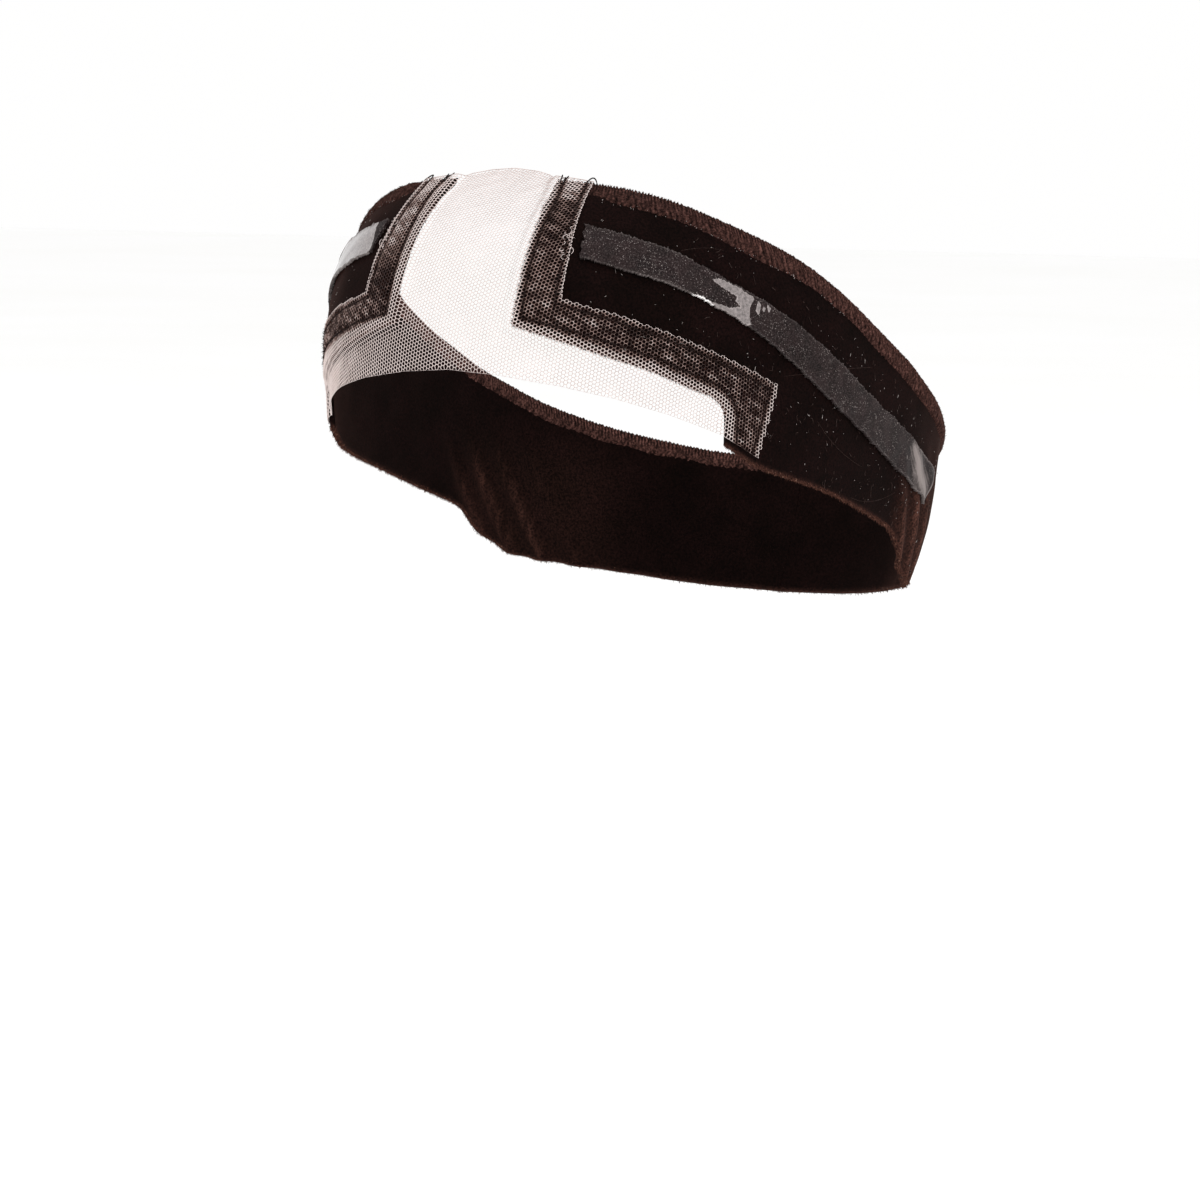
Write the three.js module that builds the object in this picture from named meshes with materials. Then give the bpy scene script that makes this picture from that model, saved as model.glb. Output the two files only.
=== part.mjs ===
// Wig grip band: a headband of two velvet wings, with a net lace front and silicone grip strips.
// It keeps the form that it has when worn. Millimetres, +Z up, front towards -Y, wearer's left towards +X.
import * as THREE from 'three';

const { degToRad, lerp, smoothstep } = THREE.MathUtils;

// Rounded form of the velvet's outer face: half width, depths, heights above and below its widest level
const FORM = { halfWidth: 75.5, front: 98, back: 93, rise: 66, drop: 112, power: 2.3 };
const PROBE = 0.05;

// How far each layer's two faces stand out from that form
const VELVET = { inner: -1.5, outer: 0 };
const HEM = { inner: -1.8, outer: 0.9 };
const LACE_ON_SKIN = { inner: -1.5, outer: -0.5 };
const LACE_ON_VELVET = { inner: 0.4, outer: 1.4 };
const STRIP = { inner: 0.4, outer: 1.3 };
const TAB = { inner: 0.4, outer: 1.9 };
const SEAM_GAP = 0.35;

// Sections of a wing from its front end to its tail. top and low are the band's edges, as degrees from
// the front and height, and hem is the height of the rolled edge.
const WING = [
  { top: [12.9, 49.4], low: [11.0, 11.8], hem: 4.8 },
  { top: [20.0, 48.8], low: [18.7, 7.9], hem: 4.8 },
  { top: [26.4, 47.3], low: [26.1, 4.0], hem: 4.8 },
  { top: [33.8, 45.1], low: [33.6, -0.1], hem: 4.9 },
  { top: [40.2, 42.4], low: [40.0, -4.4], hem: 5.2 },
  { top: [46.0, 39.3], low: [46.0, -19.5], hem: 6.0 },
  { top: [52.4, 35.8], low: [52.4, -24.9], hem: 6.7 },
  { top: [60.1, 31.3], low: [60.1, -28.5], hem: 6.5 },
  { top: [67.1, 26.5], low: [67.1, -31.2], hem: 6.3 },
  { top: [75.3, 20.0], low: [75.3, -34.5], hem: 6.3 },
  { top: [85.2, 11.8], low: [85.2, -38.7], hem: 6.3 },
  { top: [95.1, 4.4], low: [95.1, -42.8], hem: 6.3 },
  { top: [102.0, -0.2], low: [102.0, -46.2], hem: 6.3 },
  { top: [109.9, -6.0], low: [109.9, -55.0], hem: 6.2 },
  { top: [118.5, -11.6], low: [118.5, -60.4], hem: 6.0 },
  { top: [130.0, -19.0], low: [130.0, -63.5], hem: 5.8 },
  { top: [145.0, -26.5], low: [145.0, -67.0], hem: 5.5 },
  { top: [162.0, -32.0], low: [162.0, -70.0], hem: 5.2 },
  { top: [179.5, -34.0], low: [179.5, -71.0], hem: 5.0 },
];

// The lower edge steps down at the temple: the skirt below the step starts at this section and takes
// this share of its height
const STEP_SECTION = 5;
const STEP_SHARE = 0.22;
const SKIRT_ROWS = 2;
const MAIN_ROWS = 6;
const PLAIN_STEP = 4.5;

// Gathers behind the ear: ridges of the velvet that lean back towards the lower edge
const GATHER = { from: 100, to: 134, step: 1.8, level: -45, lean: 0.3, noneAbove: -18, fullBelow: -46 };
const FOLDS = [
  { angle: 105.5, rise: 1.5, width: 2.3 },
  { angle: 112.5, rise: 2.0, width: 2.5 },
  { angle: 120.0, rise: 1.6, width: 2.6 },
  { angle: 128.0, rise: 1.0, width: 3.0 },
];

// The roll of the hem: the rows of its oval section, and where it comes out flush from under the lace
const HEM_ROWS = [-0.96, -0.6, 0, 0.6, 0.96];
const HEM_FLUSH_BEFORE = 21;
const HEM_FULL_AFTER = 28;

// Sections of the lace's left half from the centre to its rear cut. brim is the height of the velvet's
// lower edge there, and over says which part of the section lies on the velvet.
const LACE = [
  { low: [0, -0.3], brim: 12.5, cut: [0, 20.0], top: [0, 52.6], over: 'none' },
  { low: [4.8, -0.6], brim: 12.4, cut: [4.8, 19.8], top: [5.6, 52.1], over: 'none' },
  { low: [8.6, -1.3], brim: 12.1, cut: [9.2, 19.4], top: [10.3, 51.0], over: 'none' },
  { low: [10.2, -1.7], brim: 11.7, cut: [10.9, 19.2], top: [12.6, 49.6], over: 'upper' },
  { low: [18.6, -3.8], brim: 7.9, cut: [18.8, 18.7], top: [20.8, 48.3], over: 'upper' },
  { low: [27.2, -6.9], brim: 3.3, cut: [27.8, 14.5], over: 'upper' },
  { low: [36.0, -11.2], brim: -1.8, cut: [36.6, 9.4], over: 'upper' },
  { low: [42.4, -14.6], brim: -5.6, cut: [42.6, 5.4], over: 'upper' },
  { low: [44.6, -16.2], brim: -7.0, cut: [44.8, 4.0], over: 'all' },
  { low: [52.4, -22.8], brim: -12.0, cut: [56.4, -4.2], over: 'all' },
];
const LACE_STEP = 4.5;
const LACE_RAMP = { skin: 3.0, raised: 0.6 };
const LACE_ROWS = { belowRamp: 2, ramp: 1, onVelvet: 2, crest: 5 };

// Sections of a grip strip from the lace's cut edge to its pointed rear end
const GRIP = [
  { upper: [21.0, 37.2], lower: [21.0, 29.0] },
  { upper: [29.3, 34.0], lower: [28.6, 25.7] },
  { upper: [37.4, 30.0], lower: [36.1, 22.0] },
  { upper: [44.8, 24.1], lower: [43.4, 16.9] },
  { upper: [52.5, 18.5], lower: [50.5, 10.8] },
  { upper: [60.2, 12.2], lower: [57.5, 4.1] },
  { upper: [67.9, 5.6], lower: [64.4, -3.1] },
  { upper: [75.6, -1.3], lower: [71.8, -9.8] },
  { upper: [83.8, -7.9], lower: [79.6, -16.2] },
  { upper: [92.4, -13.8], lower: [88.0, -22.1] },
  { upper: [101.2, -19.2], lower: [96.4, -27.9] },
  { upper: [109.6, -25.2], lower: [105.1, -33.1] },
  { upper: [118.0, -30.7], lower: [113.9, -39.0] },
];
const GRIP_SPANS = 3;
const GRIP_ROWS = 2;

// The plain fastening tab across both tails at the nape
const CLOSURE = { middle: 180, halfTurn: 20, level: -53.5, halfHeight: 11, corner: 5, cornerTurn: 4 };
const CLOSURE_COLUMNS = 14;
const CLOSURE_ROWS = 4;

// Worn form

function formPoint(angle, z) {
  const turn = degToRad(angle);
  const depth = Math.cos(turn) > 0 ? FORM.front : FORM.back;
  const reach = z > 0 ? FORM.rise : FORM.drop;
  const across = Math.abs(Math.sin(turn) / FORM.halfWidth) ** FORM.power;
  const along = Math.abs(Math.cos(turn) / depth) ** FORM.power;
  const level = (1 - Math.abs(z / reach) ** FORM.power) ** (1 / FORM.power);
  const radius = level * (across + along) ** (-1 / FORM.power);
  return new THREE.Vector3(radius * Math.sin(turn), -radius * Math.cos(turn), z);
}

function formNormal(angle, z) {
  const turn = formPoint(angle + PROBE, z).sub(formPoint(angle - PROBE, z));
  const climb = formPoint(angle, z + PROBE).sub(formPoint(angle, z - PROBE));
  return turn.cross(climb).normalize();
}

function gatherLift(angle, z) {
  const fade = 1 - smoothstep(z, GATHER.fullBelow, GATHER.noneAbove);
  let lift = 0;
  for (const fold of FOLDS) {
    const ridge = fold.angle + GATHER.lean * (GATHER.level - z);
    lift += fold.rise * Math.exp(-(((Math.abs(angle) - ridge) / fold.width) ** 2));
  }
  return fade * lift;
}

function place(angle, z, lift) {
  return formPoint(angle, z).addScaledVector(formNormal(angle, z), lift + gatherLift(angle, z));
}

// Closed walls over a grid of cells

// at(column, row) gives an angle, a height and the lifts of the inner and outer faces, and holds says
// which cells exist. side is -1 for the mirror image on the wearer's right.
function wall({ columns, rows, at, holds = () => true, side = 1 }) {
  const positions = [];
  const index = [];
  const known = new Map();
  const vertex = ([column, row], face) => {
    const key = `${column} ${row} ${face}`;
    if (!known.has(key)) {
      const spot = at(column, row);
      known.set(key, positions.length / 3);
      positions.push(...place(side * spot.angle, spot.z, spot[face]));
    }
    return known.get(key);
  };
  const quad = (a, b, c, d) => index.push(...(side > 0 ? [a, b, c, a, c, d] : [a, c, b, a, d, c]));
  const present = (column, row) => {
    const inside = column >= 0 && row >= 0 && column < columns && row < rows;
    return inside && holds(column, row);
  };
  for (let column = 0; column < columns; column += 1) {
    for (let row = 0; row < rows; row += 1) {
      if (!present(column, row)) continue;
      const corners = [[column, row], [column + 1, row], [column + 1, row + 1], [column, row + 1]];
      const beyond = [[column, row - 1], [column + 1, row], [column, row + 1], [column - 1, row]];
      quad(...corners.map((corner) => vertex(corner, 'outer')));
      quad(...corners.toReversed().map((corner) => vertex(corner, 'inner')));
      corners.forEach((from, edge) => {
        if (present(...beyond[edge])) return;
        const to = corners[(edge + 1) % corners.length];
        quad(vertex(to, 'outer'), vertex(from, 'outer'), vertex(from, 'inner'), vertex(to, 'inner'));
      });
    }
  }
  const geometry = new THREE.BufferGeometry();
  geometry.setAttribute('position', new THREE.Float32BufferAttribute(positions, 3));
  geometry.setIndex(index);
  geometry.computeVertexNormals();
  return geometry;
}

// A smooth edge through the sections' points, read by section number
function edgeThrough(points) {
  const curve = new THREE.SplineCurve(points.map(([angle, z]) => new THREE.Vector2(angle, z)));
  return (section) => curve.getPoint(section / (points.length - 1));
}

// Velvet wings and their rolled hems

const wingTop = edgeThrough(WING.map((section) => section.top));
const skirtLow = edgeThrough(WING.slice(STEP_SECTION).map((section) => section.low));
const stepCorner = [
  WING[STEP_SECTION].low[0],
  lerp(WING[STEP_SECTION].low[1], WING[STEP_SECTION].top[1] - WING[STEP_SECTION].hem, STEP_SHARE),
];
const frontLow = edgeThrough([...WING.slice(0, STEP_SECTION).map((section) => section.low), stepCorner]);

function hemHeight(section) {
  const before = Math.min(Math.floor(section), WING.length - 2);
  return lerp(WING[before].hem, WING[before + 1].hem, section - before);
}

// Section numbers of the grid's columns, closer together where the velvet is gathered
function wingColumns() {
  const sections = [];
  for (let section = 0; section < WING.length - 1; section += 1) {
    const from = WING[section].low[0];
    const to = WING[section + 1].low[0];
    const gathered = to > GATHER.from && from < GATHER.to;
    const count = Math.ceil((to - from) / (gathered ? GATHER.step : PLAIN_STEP));
    for (let part = 0; part < count; part += 1) sections.push(section + part / count);
  }
  return [...sections, WING.length - 1];
}

const COLUMNS = wingColumns();

function velvetWing(side) {
  const at = (column, row) => {
    const section = COLUMNS[column];
    const skirt = Math.min(row / SKIRT_ROWS, 1);
    const main = Math.max((row - SKIRT_ROWS) / MAIN_ROWS, 0);
    const behindStep = section >= STEP_SECTION;
    const share = behindStep ? lerp(STEP_SHARE * skirt, 1, main) : main;
    const low = behindStep ? skirtLow(section - STEP_SECTION) : frontLow(section);
    const top = wingTop(section);
    const topHeight = top.y - hemHeight(section) - SEAM_GAP;
    return { angle: lerp(low.x, top.x, share), z: lerp(low.y, topHeight, share), ...VELVET };
  };
  const holds = (column, row) => row >= SKIRT_ROWS || COLUMNS[column] >= STEP_SECTION;
  return wall({ columns: COLUMNS.length - 1, rows: SKIRT_ROWS + MAIN_ROWS, at, holds, side });
}

function rolledHem(side) {
  const at = (column, row) => {
    const top = wingTop(COLUMNS[column]);
    const across = HEM_ROWS[row];
    const proud = smoothstep(top.x, HEM_FLUSH_BEFORE, HEM_FULL_AFTER);
    const outer = lerp(VELVET.outer, HEM.outer, proud);
    const middle = (outer + HEM.inner) / 2;
    const half = (outer - HEM.inner) / 2 * Math.sqrt(1 - across ** 2);
    const z = top.y - hemHeight(COLUMNS[column]) * (1 - across) / 2;
    return { angle: top.x, z, inner: middle - half, outer: middle + half };
  };
  return wall({ columns: COLUMNS.length - 1, rows: HEM_ROWS.length - 1, at, side });
}

// Lace front

// Grid points of one lace section from its lower edge up, with the lifts where it rests
function laceSection({ low, brim, cut, top, over }) {
  const along = (z) => (z - low[1]) / (cut[1] - low[1]);
  const stops = [
    { z: low[1], rows: LACE_ROWS.belowRamp, raised: over === 'all' },
    { z: brim - LACE_RAMP.skin, rows: LACE_ROWS.ramp, raised: over === 'all' },
    { z: brim - LACE_RAMP.raised, rows: LACE_ROWS.onVelvet, raised: over !== 'none' },
    { z: cut[1], rows: LACE_ROWS.crest, raised: over !== 'none' },
  ];
  const spots = stops.map((stop) => ({
    angle: lerp(low[0], cut[0], along(stop.z)),
    z: stop.z,
    ...(stop.raised ? LACE_ON_VELVET : LACE_ON_SKIN),
  }));
  const crest = top ? { ...spots.at(-1), angle: top[0], z: top[1] } : spots.at(-1);
  const ends = [...spots, crest];
  const points = [ends[0]];
  stops.forEach((stop, stretch) => {
    for (let row = 1; row <= stop.rows; row += 1) {
      points.push(between(ends[stretch], ends[stretch + 1], row / stop.rows));
    }
  });
  return points;
}

function between(from, to, share) {
  const spot = {};
  for (const key of Object.keys(from)) spot[key] = lerp(from[key], to[key], share);
  return spot;
}

function laceFront() {
  const half = LACE.map((section) => ({ points: laceSection(section), crest: Boolean(section.top) }));
  const mirrored = half.slice(1).reverse().map((section) => ({
    points: section.points.map((spot) => ({ ...spot, angle: -spot.angle })),
    crest: section.crest,
  }));
  const sections = [...mirrored, ...half];
  const columns = [];
  for (let number = 0; number < sections.length - 1; number += 1) {
    const [from, to] = [sections[number], sections[number + 1]];
    const count = Math.ceil((to.points[0].angle - from.points[0].angle) / LACE_STEP);
    for (let part = 0; part < count; part += 1) {
      const points = from.points.map((spot, row) => between(spot, to.points[row], part / count));
      columns.push({ points, crest: from.crest && to.crest });
    }
  }
  columns.push(sections.at(-1));
  const apron = LACE_ROWS.belowRamp + LACE_ROWS.ramp + LACE_ROWS.onVelvet;
  return wall({
    columns: columns.length - 1,
    rows: apron + LACE_ROWS.crest,
    at: (column, row) => columns[column].points[row],
    holds: (column, row) => row < apron || columns[column].crest,
  });
}

// Grip strips and the fastening at the nape

function gripStrip(side) {
  const upper = edgeThrough(GRIP.map((section) => section.upper));
  const lower = edgeThrough(GRIP.map((section) => section.lower));
  const at = (column, row) => {
    const section = column / GRIP_SPANS;
    const spot = lower(section).lerp(upper(section), row / GRIP_ROWS);
    return { angle: spot.x, z: spot.y, ...STRIP };
  };
  return wall({ columns: (GRIP.length - 1) * GRIP_SPANS, rows: GRIP_ROWS, at, side });
}

function closureTab() {
  const { middle, halfTurn, level, halfHeight, corner, cornerTurn } = CLOSURE;
  const at = (column, row) => {
    const offset = lerp(-halfTurn, halfTurn, column / CLOSURE_COLUMNS);
    const into = Math.max(Math.abs(offset) - (halfTurn - cornerTurn), 0) / cornerTurn;
    const reach = halfHeight - corner * (1 - Math.sqrt(1 - into ** 2));
    return { angle: middle + offset, z: level + lerp(-reach, reach, row / CLOSURE_ROWS), ...TAB };
  };
  return wall({ columns: CLOSURE_COLUMNS, rows: CLOSURE_ROWS, at });
}

// Finishes and assembly

const FINISH = {
  velvet: { color: 0x1a1010, roughness: 0.95, metalness: 0 },
  hem: { color: 0x33211c, roughness: 0.95, metalness: 0 },
  lace: { color: 0xe6c8ba, roughness: 0.85, metalness: 0 },
  silicone: { color: 0x4a4749, roughness: 0.35, metalness: 0 },
  fastening: { color: 0x171213, roughness: 0.9, metalness: 0 },
};

const group = new THREE.Group();

function addPiece(name, geometry, finish) {
  const mesh = new THREE.Mesh(geometry, new THREE.MeshStandardMaterial(FINISH[finish]));
  mesh.name = name;
  group.add(mesh);
}

for (const [name, side] of [['left', 1], ['right', -1]]) {
  addPiece(`velvet_${name}`, velvetWing(side), 'velvet');
  addPiece(`hem_${name}`, rolledHem(side), 'hem');
  addPiece(`silicone_${name}`, gripStrip(side), 'silicone');
}
addPiece('lace_front', laceFront(), 'lace');
addPiece('closure', closureTab(), 'fastening');

export default group;
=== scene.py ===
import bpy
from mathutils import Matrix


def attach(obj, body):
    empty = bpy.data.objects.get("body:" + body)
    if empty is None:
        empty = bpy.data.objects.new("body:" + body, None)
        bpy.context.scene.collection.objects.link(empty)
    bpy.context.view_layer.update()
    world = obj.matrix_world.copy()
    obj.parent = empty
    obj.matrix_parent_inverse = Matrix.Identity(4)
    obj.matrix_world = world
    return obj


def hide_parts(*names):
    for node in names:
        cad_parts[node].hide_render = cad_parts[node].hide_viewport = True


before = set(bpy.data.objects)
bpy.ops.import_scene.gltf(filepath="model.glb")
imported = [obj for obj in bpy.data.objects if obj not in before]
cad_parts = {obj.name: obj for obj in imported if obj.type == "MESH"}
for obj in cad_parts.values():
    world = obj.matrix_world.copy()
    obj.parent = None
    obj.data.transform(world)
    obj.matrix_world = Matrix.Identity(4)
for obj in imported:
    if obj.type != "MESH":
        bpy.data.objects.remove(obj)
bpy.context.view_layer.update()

from collections import namedtuple
from math import ceil, cos, pi, radians, sin, sqrt

import bpy
import numpy as np
from mathutils import Matrix, Vector

MM = 0.001
SIDES = (("left", 1), ("right", -1))

# Worn form of the velvet's outer face, and millimetres along it for each degree
HALF_WIDTH = 75.5
FRONT_DEPTH = 98.0
BACK_DEPTH = 93.0
RISE = 66.0
DROP = 112.0
POWER = 2.3
POLE_SHARE = 0.999
PROBE = 0.05
DEGREE = 1.45
TINY = 1e-12

# Seeded ripples: their size, their strength, and how far each way is squeezed
Wave = namedtuple("Wave", "seed size strength along across count", defaults=(1.0, 1.0, 8))
WAVES = {
    "wing": Wave(11, 17.0, 0.16),
    "wrinkles": Wave(17, 3.5, 0.4, 1.0, 0.25),
    "hem_lumps": Wave(31, 1.9, 0.15, 1.0, 1.5),
    "rib_drift": Wave(41, 6.0, 0.3),
    "rib_shift": Wave(43, 1.4, 1.2, 1.0, 2.0),
    "hem_streaks": Wave(45, 2.4, 0.3, 1.0, 1.2),
    "hem_tufts": Wave(47, 1.3, 0.5, 1.0, 2.4),
    "lace": Wave(91, 6.0, 0.08),
    "shine_border": Wave(131, 1.3, 0.12),
    "strip_nicks": Wave(141, 0.9, 0.04, count=16),
    "strip_notches": Wave(143, 6.0, 0.016, count=16),
    "strip_end": Wave(145, 1.5, 0.06),
    "strip_swell": Wave(151, 11.0, 0.12, 1.0, 10.0),
    "strip_rim": Wave(155, 2.0, 0.25, 1.0, 40.0),
    "haze_and_highlight": Wave(157, 1.1, 0.9, 0.1, 1.0),
}
RIPPLE_RATES = (0.6, 1.6)
RIPPLE_REACH = 1.5

# A value that changes from first to last between two limits
Change = namedtuple("Change", "first last start end")

# Edges of a wing, section by section: top and lower edge, and height of the rolled hem
Section = namedtuple("Section", "top low hem")
WING = [
    Section((12.9, 49.4), (11.0, 11.8), 4.8),
    Section((20.0, 48.8), (18.7, 7.9), 4.8),
    Section((26.4, 47.3), (26.1, 4.0), 4.8),
    Section((33.8, 45.1), (33.6, -0.1), 4.9),
    Section((40.2, 42.4), (40.0, -4.4), 5.2),
    Section((46.0, 39.3), (46.0, -19.5), 6.0),
    Section((52.4, 35.8), (52.4, -24.9), 6.7),
    Section((60.1, 31.3), (60.1, -28.5), 6.5),
    Section((67.1, 26.5), (67.1, -31.2), 6.3),
    Section((75.3, 20.0), (75.3, -34.5), 6.3),
    Section((85.2, 11.8), (85.2, -38.7), 6.3),
    Section((95.1, 4.4), (95.1, -42.8), 6.3),
    Section((102.0, -0.2), (102.0, -46.2), 6.3),
    Section((109.9, -6.0), (109.9, -55.0), 6.2),
    Section((118.5, -11.6), (118.5, -60.4), 6.0),
    Section((130.0, -19.0), (130.0, -63.5), 5.8),
    Section((145.0, -26.5), (145.0, -67.0), 5.5),
    Section((162.0, -32.0), (162.0, -70.0), 5.2),
    Section((180.0, -34.0), (180.0, -71.0), 5.0),
]
STEP_SECTION = 5
STEP_SHARE = 0.14
STEP_ROUND = 4.4
STEP_ROUND_TURN = 3.4
SKIRT_ROWS = 16
MAIN_ROWS = 56
COLUMN_TURN = 0.6
VELVET_INNER = -1.5
VELVET_OUTER = 0.0
VELVET_BEVEL = 0.55
INNER_MARK = 0.4
BEVEL_ANGLE = radians(55)

# Gathers towards the back, and how far they and the lower edge open the pile, where painted sheen lightens
# the velvet
Fold = namedtuple("Fold", "angle rise width")
FOLDS = [Fold(105.5, 1.5, 2.3), Fold(112.5, 2.0, 2.5), Fold(120.0, 1.6, 2.6), Fold(128.0, 1.0, 3.0)]
GATHER_LEVEL = -45.0
GATHER_LEAN = 0.3
GATHER_FADE = Change(1.0, 0.0, -46.0, -18.0)
SHEEN_FROM = (98, 104)
SHEEN_UNTIL = (132, 150)
SHEEN_POWER = 1.8
SHEEN_WRINKLED = 0.6
SHEEN_BETWEEN = 0.2
SHEEN_RIDGES = 0.8
SHEEN_EDGE = 0.4
SHEEN_EDGE_WIDTH = 0.7

# Rolled hem, its cross ribs and how their painted light and shade change along and across it: dark grooves,
# lighter crests, painted sheen towards the back, darker along the top and painted shade under the lace
HEM_LAP = 1.4
HEM_INNER = -1.8
HEM_OUTER = Change(VELVET_OUTER, 0.9, 21.0, 28.0)
HEM_TURN = 0.1
HEM_RING = 20
RIB_PITCH = 0.94
RIB_DEPTH = Change(0.18, 0.42, 0.4, 1.0)
RIBS_EVEN = (-0.6, 0.7)
RIB_STREAKED = 0.7
RIB_SHEEN_REARWARD = Change(0.8, 1.2, 20, 85)
RIB_UNDER_TOP = Change(1.0, 0.4, 0.75, 1.0)
RIB_SHADE_UNDER_LACE = Change(0.2, 1.0, 19.0, 22.0)

# Short pile on the hem, past the velvet's edges and over the lace
Pile = namedtuple("Pile", "seed count width shortest longest twist_seed")
HEM_FUZZ = Pile(51, 9000, 0.15, 0.3, 0.7, 61)
FUZZ_TURNS = (-1.25, 2.0)
FUZZ_SUNK = 0.03
FUZZ_OUTWARD = 0.3
FUZZ_FOOT_BELOW = 0.2
FUZZ_FOOT_STRAY = 0.9
FUZZ_STRAY = 0.25
FUZZ_TOP_ABOVE = 1.0
FUZZ_TOP_SHARE = 0.5
EDGE_FRINGE = Pile(71, 5200, 0.2, 0.4, 1.1, 81)
FRINGE_BOX = ((0, -0.1), (0.01, 0.7))
FRINGE_STRAY = 0.3
FRONT_FRINGE = 1000
FRONT_FRINGE_REACH = 0.86
FRONT_FRINGE_BOX = ((-0.1, 0), (0.4, 0.01))
LAP_PILE = Pile(101, 3000, 0.2, 0.5, 1.1, 121)
LAP_PILE_TRIES = 8
LAP_PILE_ACROSS = (10, 95)
LAP_PILE_UP = (-30, 75)
LAP_PILE_LIFT = (0.3, 0.75)
LAP_PILE_OUT = 0.35
LAP_PILE_HANG = (0.0, 0.0, -0.5)
LAP_PILE_STRAY = 0.6
FIBRE_CORNERS = np.radians((0, 120, 240))
FIBRE_FACES = np.array([(0, 1, 3), (1, 2, 3), (2, 0, 3), (2, 1, 0)])

# Threads: points along each and corners round it, a way that none of them runs, and how thin their ends are
Strand = namedtuple("Strand", "radius points corners seed", defaults=(None,))
STITCH = Strand(0.18, 7, 6)
CORD = Strand(0.09, 7, 5, 171)
LOOP = Strand(0.065, 12, 4, 181)
LONG_HAIR = Strand(0.03, 24, 3)
LOOSE_HAIR = Strand(0.055, 8, 3, 191)
LINT_FIBRE = Strand(0.08, 4, 3, 161)
THREAD_ASIDE = (0.37, 0.71, 0.53)
THREAD_TIP = 0.12

# Long fine hairs that cling to the velvet, one of them over the strip, and short ones
Hair = namedtuple("Hair", "start middle end lift")
HAIRS = [
    Hair((57.5, -1.7), (70.0, 0.2), (84.8, -0.5), 1.35),
    Hair((37.9, 31.0), (42.9, 32.4), (46.3, 30.9), 0.35),
    Hair((67.0, -14.0), (73.0, -23.0), (83.0, -27.0), 0.3),
    Hair((80.0, -35.0), (88.0, -38.5), (99.0, -35.0), 0.3),
]
HAIR_LIFT = 0.3
HAIR_CLIMB = 3
LOOSE_HAIRS = 240
LOOSE_HAIR_SECTIONS = (4, 13)
LOOSE_HAIR_SHARES = (0.03, 0.9)
LOOSE_HAIR_BEND = (0.35, 0.7)

# Lint on the velvet, along the foot of the hem and on the strip
Lint = namedtuple("Lint", "where count sections lift")
LINT_PLACES = [
    Lint("velvet", 260, (1.5, 15), 0.3),
    Lint("hem", 60, (1.5, 9), 0.45),
    Lint("strip", 16, (4, 11), 1.3),
]
LINT_SHARES = (0.05, 0.9)
LINT_SIZES = (0.22, 0.5, 1.1)
LINT_CHANCES = (0.62, 0.28, 0.1)
LINT_HEM_SPREAD = 0.35
LINT_BEND = 0.5

# Outline of the lace's left half and of the velvet under it, in order along each edge
LACE_TOP = [(0.0, 52.6), (5.6, 52.1), (10.3, 51.0), (12.6, 49.6), (20.8, 48.3)]
LACE_CUT = [(20.8, 48.3), (19.0, 29.0), (18.5, 18.6), (27.8, 14.5), (36.6, 9.4), (44.8, 4.0),
            (56.4, -4.0), (52.4, -22.8)]
UPRIGHT_POINTS = 3
LACE_LOW = [(52.4, -22.8), (44.6, -16.2), (36.0, -11.2), (27.2, -6.9), (18.6, -3.8), (8.6, -1.3),
            (0.0, -0.3)]
VELVET_EDGE = [(12.9, 49.4), (12.9, 44.6), (11.0, 11.8), (18.7, 7.9), (26.1, 4.0), (33.6, -0.1),
               (40.0, -4.4), (43.4, -6.4), (45.0, -8.4), (45.8, -10.4), (46.0, -12.1), (46.0, -19.5)]
VELVET_BEYOND = [(60.0, -30.0), (80.0, 0.0), (60.0, 34.0), (30.0, 52.0)]
FLAT_REACH = 90.0
FLAT_LEVEL = 60
FLAT_STEPS = 1201

# Net of the lace: distance between holes, hole size by what lies under it, and how the sheet lies
NET_PITCH = 0.99
NET_HOLE = 0.83
NET_HOLE_LAPPED = 0.77
NET_HOLE_COVERED = 0.86
NET_HALF_HEIGHT = 0.13
NET_TURN = -37.0
NET_ON_VELVET = 0.5
NET_LIFT = Change(-1.0, NET_ON_VELVET, -3.0, -0.3)
NET_GROOVE = 0.35
NET_GROOVE_WIDTH = 0.7
NET_REACH = 120
NET_SNAP = 0.65
KNOT_MERGE = 0.05
ROUGH_SHARE = 0.3

# How far the lace is darkened, partly by pile over it and partly by painted shade: by height, patches where
# it is darker or lighter, and leaning streaks of painted shadow as from folds
Cover = namedtuple("Cover", "z share")
COVERS = [Cover(12, 0.66), Cover(18, 0.56), Cover(28, 0.58), Cover(34, 0.72), Cover(43, 0.68),
          Cover(45, 0.0)]
COVER_FROM_VELVET = (1.2, 2.8)
COVER_FROM_CUT = (0.1, 0.7)
COVER_FROM_STEP = (1.4, 2.0)
Patch = namedtuple("Patch", "side angle z across down amount")
PATCHES = [
    Patch(1, 14.9, 42.0, 1.8, 4.5, 0.25),
    Patch(1, 17.8, 34.0, 2.0, 3.5, 0.2),
    Patch(1, 31.0, 10.0, 5.5, 2.6, 0.35),
    Patch(1, 42.5, 2.0, 5.0, 2.4, 0.3),
    Patch(1, 51.3, -5.0, 4.5, 4.0, 0.3),
    Patch(-1, 14.5, 22.0, 4.5, 6.0, 0.6),
    Patch(-1, 16.5, 37.0, 4.0, 8.0, -0.5),
    Patch(-1, 28.0, 10.0, 6.0, 3.0, 0.3),
]
ShadowStreak = namedtuple("ShadowStreak", "seed lean size depth upright_depth")
SHADOW_STREAKS = [ShadowStreak(95, -24, 3.2, 0.3, 0.3), ShadowStreak(96, 14, 1.05, 0.55, 0.25)]
STREAK_UPRIGHT = (12, 22)
STREAK_ALONG = 0.35
STREAK_ACROSS = 1.2
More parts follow.
